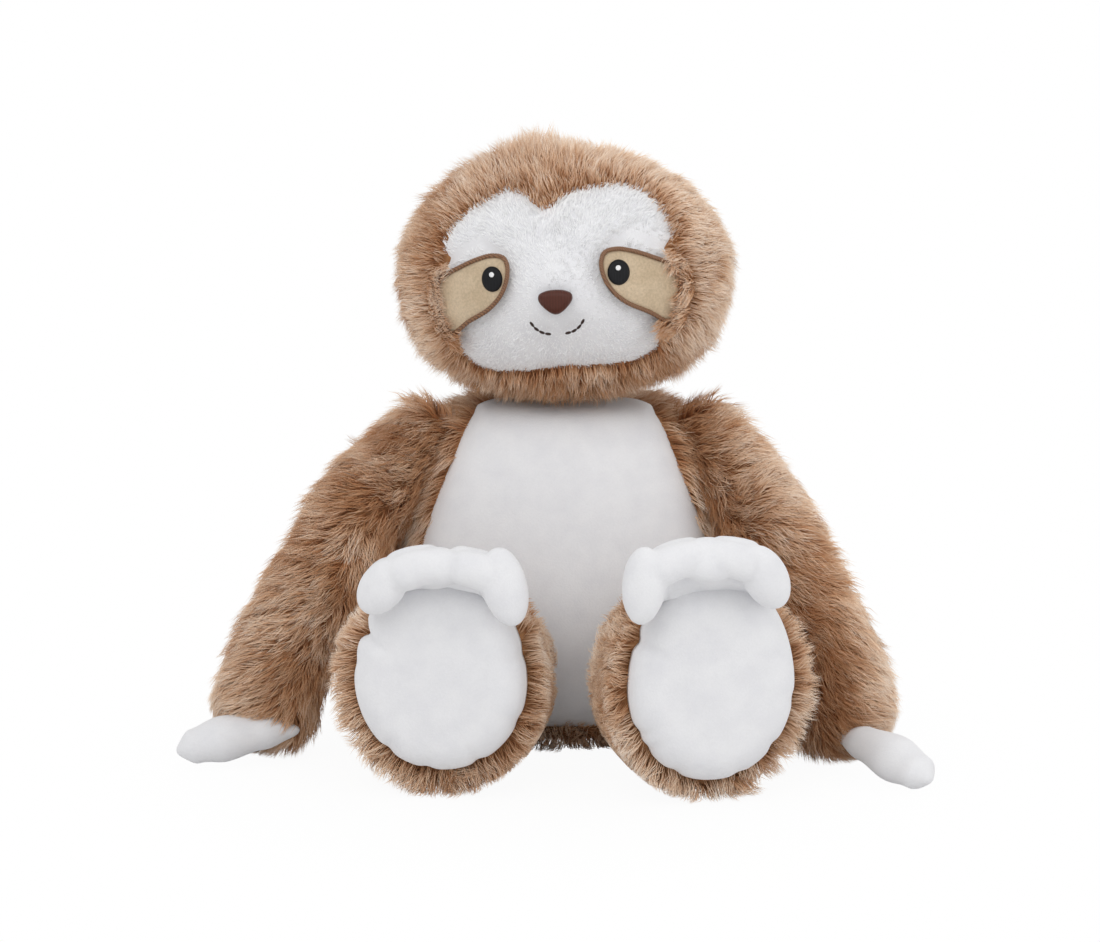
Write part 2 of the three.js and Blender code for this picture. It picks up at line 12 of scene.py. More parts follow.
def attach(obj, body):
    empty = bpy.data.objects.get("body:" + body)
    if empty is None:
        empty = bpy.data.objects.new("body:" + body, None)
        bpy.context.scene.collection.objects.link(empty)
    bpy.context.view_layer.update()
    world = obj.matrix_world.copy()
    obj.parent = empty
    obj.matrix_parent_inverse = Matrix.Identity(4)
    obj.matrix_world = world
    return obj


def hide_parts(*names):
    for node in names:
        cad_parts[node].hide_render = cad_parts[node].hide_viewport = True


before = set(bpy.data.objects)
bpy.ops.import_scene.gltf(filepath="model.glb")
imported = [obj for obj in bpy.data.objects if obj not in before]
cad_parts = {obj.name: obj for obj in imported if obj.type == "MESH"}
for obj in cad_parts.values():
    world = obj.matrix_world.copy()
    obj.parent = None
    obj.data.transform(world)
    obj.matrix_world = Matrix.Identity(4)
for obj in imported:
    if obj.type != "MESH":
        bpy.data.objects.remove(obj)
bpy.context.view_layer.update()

MM = 0.001
TORSO_AT = np.array([9.3, 60.1, 0.0])  # the torso's middle in the row frame

# Camera: a long lens a little above the toy, looking straight at it
CAMERA_AIM = (1.2, -19.0, 161.0)
CAMERA_DISTANCE = 1650.0
CAMERA_ELEVATION = 10.5  # degrees
LENS = 100.0
SENSOR = 36.0

# Cloth
PILE = 7.5  # how far the lying pile stands off its backing
BACKING = 3.0  # the knitted backing's thickness
FLOOR_GAP = 0.4  # the lowest that a fibre lies
CLOTH_GAP = 0.2  # the lowest that cloth lies
THREAD_SIDES = 8
LINE_STEPS = 24  # places worked out between two points of a smooth line

# In what follows, a pair of values says where a change in the pile starts and where it is full.

# Torso
TORSO_HEIGHT = 193.0
TORSO_HALF_WIDTH = 107.0
TORSO_HALF_DEPTH = 86.0
TORSO_BACK_LEAN = 10.0
TORSO_BASE = 2.0  # the seat's backing above the floor, its pile pressed flat
PANEL_FOLD = 172.0  # above this the belly panel goes back over the torso's top
TORSO_SHARES = [
    (0.45, 0.002), (0.7, 0.016), (0.86, 0.06), (0.955, 0.14), (1, 0.27), (0.995, 0.4), (0.965, 0.53),
    (0.92, 0.65), (0.86, 0.77), (0.78, 0.87), (0.63, 0.955), (0.4, 0.99),
]
BELLY_EDGE = [  # out from the middle, and up
    (0, 224), (38, 223), (49, 211), (52, 190), (58, 171), (68, 147), (76, 125), (83, 92), (63, 38), (30, 17),
    (0, 15),
]
PANEL_UNDER_PILE = 0.985  # the share of the belly panel that the pile round it leaves free
PANEL_BACK_EDGE = 12.0  # how far back the panel goes on over the top
BARE_SEAT_SHARE, BARE_SEAT_HEIGHT = 0.62, 20.0  # the middle of the seat, which has no pile
SEAT_EDGE = (20, 12)  # height; combed outward below
FLAT_PILE = (24, 8)  # height; pressed flatter below
SEAT_PRESSED, SEAT_FRONT = (15, 0), (-40, -50)  # height and depth of the pile between the legs
SHOULDER_TOP, SHOULDER_OUT = (158, 178), (46, 58)  # height and way out
CREASE_GAP = 8.0  # two stuffed forms that are closer press the pile between them

# Head
HEAD_HALVES = np.array([94.0, 76.0, 70.0])
HEAD_AT = np.array([0.0, -14.0, 263.0])
HEAD_ROUNDNESS, HEAD_TOP_ROUNDNESS = 2.35, 2.05
HEAD_TURN, HEAD_TILT, HEAD_LIFT = 4.0, 3.6, 5.0  # degrees
MUZZLE_BULGE = 9.0
MUZZLE_HALVES = (30.0, 24.0)
MUZZLE_DROP = 14.0
PATCH_INNER, PATCH_OUTER, PATCH_TOP, PATCH_BOTTOM, PATCH_DROP = 25.0, 65.5, 15.0, 26.0, 4.0
PATCH_SHARES = [
    (0, 0.58), (0.05, 0.9), (0.2, 1), (0.4, 0.9), (0.64, 0.66), (0.93, 0.26), (1, -0.04), (1, -0.3),
    (0.95, -0.72), (0.85, -1), (0.58, -0.76), (0.29, -0.52), (0.12, -0.26), (0.02, 0.1),
]
HOOD_EDGE = [
    (-9, 36.5), (-14, 41), (-23, 44.5), (-38, 39.5), (-54, 28), (-61, 14), (-61, -2), (-58, -27), (-53, -44),
    (-41, -51.5), (3, -51.5), (37, -50), (50, -43), (55, -28), (59, -11), (61, 6), (61, 19), (54, 33),
    (44, 41.5), (31, 44.5), (18, 43.5), (7, 41), (2, 37), (-3, 35.5),
]
PUPIL_AT = (33.8, -1.5)
PUPIL_HALVES = (5.8, 6.8)
NOSE_HALF_WIDTH, NOSE_HEIGHT, NOSE_TOP = 9.2, 12.8, -9.0
NOSE_SHARES = [(0, -0.03), (0.55, 0.01), (0.93, 0.15), (0.98, 0.38), (0.68, 0.7), (0.25, 0.95), (0, 1)]
SMILE = [(3.8, -32.4), (8.0, -31.4), (11.6, -29.0), (14.4, -25.2)]
MOUTH_STITCHES, STITCH_STEPS, MOUTH_RADIUS = 4, 15, 0.75  # dashes to a half, points to a dash, their radius
GLINT_RADIUS, GLINT_RAISE = 1.4, 2.4  # a glint lies that far above its pupil's middle
FACE_RINGS = 24  # rings of the face panel's front
# Above the height HEAD_HIGH the head's fur is painted lighter, and under the chin it is painted with shade.
HEAD_BACK, HEAD_HIGH = (-60, 50), (0, 50)  # depth, combed down behind; height, paler above
CHIN_COMBED, CHIN_SHADED = (-40, -60), (-35, -55)  # heights
CHIN_FACING = (-0.3, -0.7)  # how far the fur faces down
FLAT_OUT, FLAT_UP = (20, 50), (5, 30)  # way out and height of the flattened fur
CROWN_AT, CROWN_HALVES, CROWN_LOWEST = (-16, -12), (17, 26), 40  # the tuft on top
SEAM_REACH, SEAM_LEAN = 5.0, -10.0  # how far from the face's seam the pile leans in, and its degrees
FRINGE_NEARNESS = 0.2  # how near to a patch, from 0 to 1, the fringe starts
BROW_OUT, BROW_DEPTH, BARE_HOLLOW = (22, 30), 1.2, 0.72  # the hollow over each eye patch
OFF_MUZZLE, FACE_LOW = (0.4, 1.4), (0, -25)  # share of the muzzle's halves; height

# Neck and pellet bag: lines, and girths as share, half width and half depth
NECK_LINE = [(0, 6, 178), (0, 6, 204), (0, 4, 230)]
NECK_GIRTHS = [(0, 26, 26), (0.5, 28, 28), (1, 26, 26)]
NECK_FUR, NECK_FUR_FRONT = (182, 224), -12  # the heights between which the neck has pile, and how far forward
BAG_LINE = [(0, 0, 14), (0, 0, 22), (0, 0, 33)]
BAG_GIRTHS = [(0, 54, 54), (1, 54, 54)]

# Arms
SHOULDER_AT = (76.0, 0.0, 164.0)
SHOULDER_RADIUS, ELBOW_RADIUS, HAND_RADIUS = 28.0, 32.0, 32.0
ARM_REACH = 110.0
ARM_SHARES = [(0, 0), (0.34, 0.17), (0.6, 0.44), (0.83, 0.71), (1, 1)]
ARM_TURNS = {"left": 47.0, "right": 37.0}
ARM_FLATS = {"left": 4.0, "right": 5.0}  # how much flatter an arm's outer side is than a round one
ARM_FLAT_WAY = np.array([0.87, 0, 0.5])  # outward, back and up
ARM_FLAT_HEIGHTS, ARM_FLAT_SHARES = [20, 60, 105, 150, 170], [0.2, 0.45, 1, 0.7, 0]
ARM_ROOT = (-15.0, 10.0)  # how far in and up an arm's root goes on from its shoulder
ROOT_IN, ROOT_UP = (72, 60), (160, 172)  # way out and height of the pile beside the neck
HAND_LOW, HAND_INWARD = (26, 12), (0.4, -0.6)  # height, and how far the fur faces outward
ARM_DARK_AT, ARM_DARK_REACH = 95.0, 35.0  # height of the darker stretch, and its reach up and down
PRESS_REACH = 12.0  # how far the jaw and the floor press an arm's pile
HAND_SEAM_OUT, HAND_SEAM_UP = 25.0, 13.0
HAND_CLAW_GIRTHS = [(0, 4, 3), (0.3, 10, 9.5), (0.62, 13.5, 12.5), (0.85, 11, 9.5), (1, 6, 5.5)]
HAND_CLAW_LENGTHS = {"left": 61.0, "right": 57.0}
HAND_SEAM_TURNS = {"left": 82.0, "right": 112.0}
HAND_CLAW_TURNS = {"left": 52.0, "right": 9.0}

# Legs
HIP_SPACING, HIP_FORWARD, HIP_HEIGHT, HIP_RADIUS, HIP_TWIST = 104.0, 63.0, 42.0, 38.0, 6.0
LEG_LENGTH, FOOT_DEPTH, FOOT_EDGE = 106.0, 46.0, 17.0
FOOT_HALVES = (59.0, 59.5)
LEG_SPLAYS = {"left": 13.0, "right": 8.0}
LEG_SHARES = [(0, 0), (0.5, 0.1), (1, 0.6)]
SOLE_SHAPES = {  # outward shift, half width, upper and lower half heights
    "left": (2.0, 44.5, 55.0, 51.0),
    "right": (0.0, 45.5, 55.0, 48.0),
}
FOOT_SHIFTS = {"left": 5.5, "right": 3.0}  # how far outward the pile lies round a foot
SOLE_RAISE = 5.0
SOLE_UNDER_PILE, SOLE_FRONT = 0.96, -80.0  # the share of the sole that is free of pile, and where it starts
BARE_HEIGHT, BARE_FACING, BARE_DEPTH = 8.0, -0.85, -70.0  # the leg's bare underside
SOLE_DENTS = {  # where the seam draws the sole in: degrees from the toy's left, share of the way in
    "left": [(152, 0.05), (208, 0.035), (219, 0.03), (243, 0.025), (288, 0.02), (318, 0.03), (351, 0.02)],
    "right": [(151, 0.1), (171, 0.02), (232, 0.03), (262, 0.025), (297, 0.03), (335, 0.02), (16, 0.02)],
}
DENT_REACH = 4.5  # degrees
FOOT_RIM = (-84, -98)  # depth in the leg's own frame; combed outward round the sole
HEEL_LOW, HEEL_FRONT, HEEL_UP = (14, 8), (-64, -74), (-36, -12)  # heights, with a depth between them
TOE_REACH = 33.0
TOE_SEAM_LINE = [(-28, 0, -3), (-14, 0, 1), (0, 0, 2), (14, 0, 1), (28, 0, -3)]
TOE_WEB_SHARES = [(-27, 1), (-17, 1), (-9, 0.5)]  # the web between the lobes: depth, share of their height
TOE_TURNS_IN = {"left": 13.0, "right": 11.0}  # how far the toes' tips lie towards the toy's middle
TOE_LOBES = {  # across, up, half length, half width and slant of a foot's lobes, the middle one first
    "left": [(2, 22, 17, 12.5, 0), (-33, 8, 23, 11.5, 86), (33, 9.5, 21, 12.5, 62)],
    "right": [(-5, 15.5, 15, 10, 0), (31, 4, 24, 12.5, 76), (-34, 1.5, 19, 12.5, 54)],
}

# Studio, in metres
FLOOR_SIZE = 12.0
SHADE_REACH = (0.1, 0.28)  # how far from the toy the floor's faint shade starts to go and is gone
LAMPS_AIM = (0, 0, 0.15)
SOFTBOXES = [  # name, place, size and watts
    ("key_softbox", (-0.6, -1.4, 1.6), 1.4, 11.8),
    ("fill_softbox", (1.5, -0.9, 0.9), 1.2, 6.0),
    ("back_softbox", (0.2, 1.3, 1.5), 1.0, 5.0),
]

SIDES = {"left": 1, "right": -1}


# Curves and grids

def unit(vectors):
    return vectors / np.maximum(np.linalg.norm(vectors, axis=-1, keepdims=True), 1e-9)


def laid(ways, normals):
    """Ways turned to lie along the surface."""
    return unit(ways - normals * np.einsum("ij,ij->i", ways, normals)[:, None])


def ramp(value, start, end):
    """From 0 where the value is start, or beyond it, to 1 where it is end."""
    return np.clip((value - start) / (end - start), 0, 1)


def run_along(line):
    """How far along a line each of its points lies."""
    return np.concatenate([[0], np.cumsum(np.linalg.norm(np.diff(line, axis=0), axis=1))])


def smooth_line(points, count, closed=False):
    """A smooth line through the points, as count points evenly along it."""
    p = np.array(points, float)
    if closed:
        p = np.vstack([p[-1], p, p[0], p[1]])
    else:
        p = np.vstack([2 * p[0] - p[1], p, 2 * p[-1] - p[-2]])
    dense = []
    for a, b, c, d in zip(p[:-3], p[1:-2], p[2:-1], p[3:]):
        knots = np.cumsum([0] + [np.linalg.norm(v) ** 0.5 + 1e-6 for v in (b - a, c - b, d - c)])
        t = np.linspace(knots[1], knots[2], LINE_STEPS, endpoint=False)[:, None]
        ab = (knots[1] - t) / knots[1] * a + t / knots[1] * b
        bc = ((knots[2] - t) * b + (t - knots[1]) * c) / (knots[2] - knots[1])
        cd = ((knots[3] - t) * c + (t - knots[2]) * d) / (knots[3] - knots[2])
        abc = ((knots[2] - t) * ab + t * bc) / knots[2]
        bcd = ((knots[3] - t) * bc + (t - knots[1]) * cd) / (knots[3] - knots[1])
        dense.append(((knots[2] - t) * abc + (t - knots[1]) * bcd) / (knots[2] - knots[1]))
    line = np.vstack(dense + [p[-2:-1]])
    run = run_along(line)
    stations = np.linspace(0, run[-1], count, endpoint=not closed)
    return np.stack([np.interp(stations, run, line[:, k]) for k in range(line.shape[1])], 1)


def mirrored(half):
    """Half an outline that starts and ends on the middle line, with its mirror image added."""
    return list(half) + [(-x, z) for x, z in half[-2:0:-1]]


def inside(loop, x, z):
    """Whether each point (x, z) lies in the loop."""
    within_loop = np.zeros(x.shape, bool)
    for (x1, z1), (x2, z2) in zip(loop, np.roll(loop, -1, 0)):
        crosses = (z1 > z) != (z2 > z)
        if z1 != z2:
            within_loop ^= crosses & (x < (x2 - x1) * (z - z1) / (z2 - z1) + x1)
    return within_loop


def ripple(points, wavelength, seed):
    """A smooth value from about -1 to 1 that wanders over that many millimetres."""
    rng = np.random.default_rng(seed)
    total = np.zeros(points.shape[:-1])
    for way in unit(rng.normal(size=(9, 3))):
        length = wavelength * rng.uniform(0.7, 1.5)
        total += np.sin(points @ way * 2 * math.pi / length + rng.uniform(0, 6.3))
    return total / 4


def turned_about_z(points, degrees):
    a = math.radians(degrees)
    c, s = math.cos(a), math.sin(a)
    return points @ np.array([[c, s, 0], [-s, c, 0], [0, 0, 1]])


EVEN_STEPS = (0.7548776662466927, 0.5698402909980532)  # steps whose multiples fill a square evenly


class Skin:
    """A closed surface as rings of points; all the points of its first and last rings are one point."""

    def __init__(self, points):
        self.points = points
        along = np.gradient(points, axis=0)
        around = np.roll(points, -1, 1) - np.roll(points, 1, 1)
        normals = unit(np.cross(around, along))
        normals[0] = unit(normals[1].mean(0))
        normals[-1] = unit(normals[-2].mean(0))
        middle = points.mean(1, keepdims=True)
        if np.sum((normals * (points - middle))[1:-1]) < 0:
            normals = -normals
        self.normals = normals

    def at(self, rows, columns):
        """Points and normals at fractional places on the grid."""
        rings, sides = self.points.shape[:2]
        i = np.clip(rows.astype(int), 0, rings - 2)
        j = columns.astype(int)
        a, b = (rows - i)[:, None], (columns - j)[:, None]
        j0, j1 = j % sides, (j + 1) % sides

        def blended(grid):
            near = grid[i, j0] * (1 - b) + grid[i, j1] * b
            return near * (1 - a) + (grid[i + 1, j0] * (1 - b) + grid[i + 1, j1] * b) * a

        return blended(self.points), unit(blended(self.normals))

    def scatter(self, spacing, seed):
        """Points and normals spread evenly over the surface, about that far apart."""
        rng = np.random.default_rng(seed)
        p = self.points
        q = np.roll(p, -1, 1)
        area = np.linalg.norm(np.cross(q[1:] - p[:-1], p[1:] - q[:-1]), axis=2) / 2
        by_row = np.concatenate([[0], np.cumsum(area.sum(1))])
        count = int(by_row[-1] / spacing ** 2)
        k = np.arange(count)
        shift = rng.random(2)
        u, v = ((shift[i] + k * step) % 1 for i, step in enumerate(EVEN_STEPS))
        rows = np.interp(u, by_row / by_row[-1], np.arange(len(by_row)))
        columns = np.zeros(count)
        ring = np.clip(rows.astype(int), 0, len(area) - 1)
        for i in range(len(area)):
            here = ring == i
            run = np.concatenate([[0], np.cumsum(area[i])])
            columns[here] = np.interp(v[here], run / run[-1], np.arange(len(run)))
        return self.at(rows, columns)

    def mesh(self):
        """Its corners and faces, with one corner at each end."""
        rings, sides = self.points.shape[:2]
        corners = np.vstack([self.points[0, :1], self.points[1:-1].reshape(-1, 3), self.points[-1, :1]])
        ring = lambda i: 1 + (i - 1) * sides + np.arange(sides)
        faces = []
        for i in range(1, rings - 2):
            a, b = ring(i), ring(i + 1)
            faces += np.stack([a, np.roll(a, -1), np.roll(b, -1), b], 1).tolist()
        first, last = ring(1), ring(rings - 2)
        faces += [[0, b, a] for a, b in zip(first, np.roll(first, -1))]
        faces += [[len(corners) - 1, a, b] for a, b in zip(last, np.roll(last, -1))]
        return corners, faces

    def moved(self, change):
        return Skin(change(self.points))


def buried(points, skins, depth):
    """Whether each point lies deeper than that in one of the skins."""
    hidden = np.zeros(len(points), bool)
    for skin in skins:
        p = skin.points.reshape(-1, 3)
        n = skin.normals.reshape(-1, 3)
        tree = KDTree(len(p))
        for i, corner in enumerate(p.tolist()):
            tree.insert(corner, i)
        tree.balance()
        near = np.array([tree.find(q)[1] for q in points.tolist()])
        hidden |= np.einsum("ij,ij->i", points - p[near], n[near]) < -depth
    return hidden


# Stuffed forms, each at an inset from its outline

TORSO_LINE = smooth_line([(0, 0), *TORSO_SHARES, (0, 1)], 72)


def torso_flatness(inset):
    return (TORSO_HALF_DEPTH - inset) / (TORSO_HALF_WIDTH - inset)


def leant_back(z):
    """How far back the torso's middle lies at that height."""
    return TORSO_BACK_LEAN * (z / TORSO_HEIGHT) ** 2


def torso_skin(inset, sides=120):
    w = TORSO_LINE[:, 0] * (TORSO_HALF_WIDTH - inset)
    z = TORSO_BASE + TORSO_LINE[:, 1] * (TORSO_HEIGHT - inset - TORSO_BASE)
    turn = np.linspace(0, 2 * math.pi, sides, endpoint=False)
    x = w[:, None] * np.sin(turn)
    y = -w[:, None] * np.cos(turn) * torso_flatness(inset) + leant_back(z)[:, None]
    return Skin(np.stack([x, y, np.broadcast_to(z[:, None], x.shape)], 2))


def torso_front(x, z, inset):
    """Points on the front of the torso."""
    share = (z - TORSO_BASE) / (TORSO_HEIGHT - inset - TORSO_BASE)
    half = np.interp(share, TORSO_LINE[:, 1], TORSO_LINE[:, 0]) * (TORSO_HALF_WIDTH - inset)
    depth = np.sqrt(np.maximum(half ** 2 - x ** 2, 0)) * torso_flatness(inset)
    return np.stack([x, leant_back(z) - depth, z], -1)


def torso_over(x, up, inset):
    """Points on the front of the torso that go on over its top: up is the height, then the way back."""
    front = torso_front(x, np.minimum(up, PANEL_FOLD), inset)
    y = front[..., 1] + np.maximum(up - PANEL_FOLD, 0)
    upper = TORSO_LINE[len(TORSO_LINE) // 2:][::-1]
    radius = np.hypot(x, (y - leant_back(PANEL_FOLD)) / torso_flatness(inset))
    share = np.interp(radius / (TORSO_HALF_WIDTH - inset), upper[:, 0], upper[:, 1])
    over = TORSO_BASE + share * (TORSO_HEIGHT - inset - TORSO_BASE)
    return np.stack([x, y, np.where(up > PANEL_FOLD, over, front[..., 2])], -1)


def muzzled(points):
    """The head's points with the muzzle swelling out of them."""
    x, y, z = points[..., 0], points[..., 1], points[..., 2]
    away = (x / MUZZLE_HALVES[0]) ** 2 + ((z + MUZZLE_DROP) / MUZZLE_HALVES[1]) ** 2
    bulge = MUZZLE_BULGE * np.maximum(0, -y / HEAD_HALVES[1]) * np.exp(-away)
    return np.stack([x, y - bulge, z], -1)


def head_placed(points):
    """From the head's own frame to the torso's."""
    for degrees, axis in ((-HEAD_LIFT, "X"), (-HEAD_TILT, "Y"), (-HEAD_TURN, "Z")):
        points = points @ np.array(Matrix.Rotation(math.radians(degrees), 3, axis)).T
    return points + HEAD_AT


def in_head(points):
    """From the torso's frame to the head's own."""
    points = points - HEAD_AT
    for degrees, axis in ((HEAD_TURN, "Z"), (HEAD_TILT, "Y"), (HEAD_LIFT, "X")):
        points = points @ np.array(Matrix.Rotation(math.radians(degrees), 3, axis)).T
    return points


def head_skin(inset, rings=72, sides=120):
    lift = np.linspace(-math.pi / 2, math.pi / 2, rings)[:, None]
    roundness = np.where(lift > 0, HEAD_TOP_ROUNDNESS, HEAD_ROUNDNESS)
    fuller = lambda v: np.sign(v) * np.abs(v) ** (2 / roundness)
    turn = np.linspace(0, 2 * math.pi, sides, endpoint=False)[None]
    across = fuller(np.maximum(np.cos(lift), 0))
    halves = HEAD_HALVES - inset
    x = across * np.sin(turn) * halves[0]
    y = -across * np.cos(turn) * halves[1]
    z = np.broadcast_to(fuller(np.sin(lift)) * halves[2], x.shape)
    return Skin(head_placed(muzzled(np.stack([x, y, z], 2))))


def head_front(x, z, inset):
    """Points on the front of the head, from its own frame's x and z."""
    a, b, c = (half - inset for half in HEAD_HALVES)
    roundness = np.where(z > 0, HEAD_TOP_ROUNDNESS, HEAD_ROUNDNESS)
    across = np.maximum(1 - np.abs(z / c) ** roundness, 0) ** (1 / roundness)
    y = -b * np.sqrt(np.maximum(across ** 2 - (x / a) ** 2, 0))
    return head_placed(muzzled(np.stack([x, y, z], -1)))


CAP_RINGS = 8


def stuffed_tube(points, across, girths, start_cap, end_cap, inset=0.0, sides=56, rings=60):
    """A tube along a smooth line, with girths (share, half width along across, half height) and rounded
    ends, start_cap and end_cap long."""
    line = smooth_line(points, 400)
    run = run_along(line)
    start, end = max(start_cap - inset, 1.0), max(end_cap - inset, 1.0)
    length = run[-1] - 2 * inset
    quarter = 1 - np.cos(np.linspace(0, math.pi / 2, CAP_RINGS + 1))
    middle = np.linspace(start, length - end, rings - 2 * CAP_RINGS)
    d = np.concatenate([quarter[:-1] * start, middle, (length - quarter * end)[::-1][1:]])
    share = np.clip((d + inset) / run[-1], 0, 1)
    shares, wides, talls = np.array(girths).T
    step = np.clip(np.searchsorted(shares, share), 1, len(shares) - 1)
    t = np.clip((share - shares[step - 1]) / (shares[step] - shares[step - 1]), 0, 1)
    t = t * t * (3 - 2 * t)
    round_off = lambda gap, cap: np.sqrt(np.maximum(1 - (1 - np.clip(gap / cap, 0, 1)) ** 2, 0))
    full = round_off(d, start) * round_off(length - d, end)
    wide = (wides[step - 1] * (1 - t) + wides[step] * t - inset) * full
    tall = (talls[step - 1] * (1 - t) + talls[step] * t - inset) * full
    at_run = share * run[-1]
    centre = np.stack([np.interp(at_run, run, line[:, k]) for k in range(3)], 1)
    tangent = unit(np.stack([np.interp(at_run, run, np.gradient(line[:, k])) for k in range(3)], 1))
    across = np.array(across, float)
    up = unit(np.cross(across, tangent))
    turn = np.linspace(0, 2 * math.pi, sides, endpoint=False)
    wide, tall = wide[:, None, None], tall[:, None, None]
    ring = wide * np.cos(turn)[None, :, None] * across + tall * np.sin(turn)[None, :, None] * up[:, None]
    return Skin(centre[:, None] + ring)


def in_arm(name):
    """A function from an arm's own frame to the torso's."""
    side = SIDES[name]
    shoulder_at = np.array([side * SHOULDER_AT[0], *SHOULDER_AT[1:]])
    return lambda points: turned_about_z(points, -side * ARM_TURNS[name]) + shoulder_at


def arm_skin(name, inset):
    side = SIDES[name]
    drop = SHOULDER_AT[2] - HAND_RADIUS + 0.5
    points = [(side * ARM_ROOT[0], 0, ARM_ROOT[1])]
    points += [(side * out * ARM_REACH, 0, -down * drop) for out, down in ARM_SHARES]
    points.append((side * ARM_REACH, 0, -drop - HAND_RADIUS))
    length = run_along(smooth_line(points, 200))[-1]
    girths = [
        (0, SHOULDER_RADIUS, SHOULDER_RADIUS),
        (SHOULDER_RADIUS / length, SHOULDER_RADIUS, SHOULDER_RADIUS),
        (1 - 3 * HAND_RADIUS / length, ELBOW_RADIUS, ELBOW_RADIUS),
        (1 - 1.4 * HAND_RADIUS / length, HAND_RADIUS, HAND_RADIUS),
        (1, HAND_RADIUS, HAND_RADIUS),
    ]
    tube = stuffed_tube(points, (0, -side, 0), girths, SHOULDER_RADIUS / 2, HAND_RADIUS, inset)

    def flatter(grid):
        placed = in_arm(name)(grid)
        line = placed.mean(1, keepdims=True)
        way = ARM_FLAT_WAY * [side, 1, 1]
        share = np.clip((placed - line) @ way / ELBOW_RADIUS, 0, 1)
        flat = np.interp(line[..., 2], ARM_FLAT_HEIGHTS, ARM_FLAT_SHARES) * ARM_FLATS[name]
        return placed - (share * flat)[..., None] * way

    return tube.moved(flatter)


def in_leg(name):
    """A function from a leg's own frame to the torso's."""
    side = SIDES[name]
    hip = turned_about_z(np.array([side * HIP_SPACING / 2, 0, 0]), -HIP_TWIST)
    hip = hip + np.array([0, -HIP_FORWARD, HIP_HEIGHT])
    return lambda points: turned_about_z(points, side * LEG_SPLAYS[name]) + hip


FOOT_RAISE = FOOT_HALVES[1] - HIP_HEIGHT - 0.5
SOLE_HEIGHT = FOOT_RAISE + SOLE_RAISE


def leg_skin(name, inset):
    ankle = LEG_LENGTH - FOOT_DEPTH
    points = [(0, -along * ankle, up * FOOT_RAISE) for along, up in LEG_SHARES]
    points += [(0, FOOT_DEPTH / 2 - LEG_LENGTH, FOOT_RAISE), (0, -LEG_LENGTH, FOOT_RAISE)]
    girths = [
        (0, HIP_RADIUS, HIP_RADIUS),
        (ankle / 2 / LEG_LENGTH, HIP_RADIUS, HIP_RADIUS),
        ((ankle + FOOT_DEPTH / 3) / LEG_LENGTH, *FOOT_HALVES),
        (1, *FOOT_HALVES),
    ]
    tube = stuffed_tube(points, (-1, 0, 0), girths, HIP_RADIUS / 2, FOOT_EDGE + 4, inset)
    return tube.moved(in_leg(name))


# Materials

def linear(hex_colour):
    """An sRGB hex colour in linear light."""
    channels = [int(hex_colour[i:i + 2], 16) / 255 for i in (1, 3, 5)]
    return [c / 12.92 if c <= 0.04045 else ((c + 0.055) / 1.055) ** 2.4 for c in channels] + [1.0]


def add(tree, kind, settings=None, links=None, stops=None):
    """One node, with its settings, what its sockets hold or are linked to, and its ramp's stops."""
    node = tree.nodes.new(kind)
    for name, value in (settings or {}).items():
        setattr(node, name, value)
    for name, value in (links or {}).items():
        if isinstance(value, bpy.types.NodeSocket):
            tree.links.new(value, node.inputs[name])
        else:
            node.inputs[name].default_value = value
    if stops:
        elements = node.color_ramp.elements
        while len(elements) < len(stops):
            elements.new(1.0)
        for element, (place, colour) in zip(elements, stops):
            element.position = place
            element.color = linear(colour)
    return node


def new_material(name):
    material = bpy.data.materials.new(name)
    material.use_nodes = True
    material.node_tree.nodes.clear()
    return material, material.node_tree


def faux_fur(name, stops, tones, roughness, sheen):
    """Acrylic pile: each fibre goes from a dark root to a pale tip, and each has a tone of its own."""
    material, tree = new_material(name)
    place = add(tree, "ShaderNodeUVMap", {"uv_map": "OFBake"})
    parts = add(tree, "ShaderNodeSeparateXYZ", links={"Vector": place.outputs["UV"]})
    along = add(tree, "ShaderNodeValToRGB", links={"Fac": parts.outputs["Y"]}, stops=stops)
    tone = add(tree, "ShaderNodeValToRGB", links={"Fac": parts.outputs["X"]}, stops=tones)
    mixed = add(tree, "ShaderNodeMix", {"data_type": "RGBA", "blend_type": "MULTIPLY"},
                {0: 1.0, 6: along.outputs["Color"], 7: tone.outputs["Color"]})
    shader = add(tree, "ShaderNodeBsdfPrincipled", links={
        "Base Color": mixed.outputs[2], "Roughness": roughness, "Specular IOR Level": 0.25,
        "Sheen Weight": sheen, "Sheen Roughness": 0.4,
    })
    add(tree, "ShaderNodeOutputMaterial", links={"Surface": shader.outputs["BSDF"]})
    return material


# The clouds' lighter and darker tints are painted sheen.
SHEEN_CLOUD = 14.0  # width of the patches where a nap was stroked one way, in mm


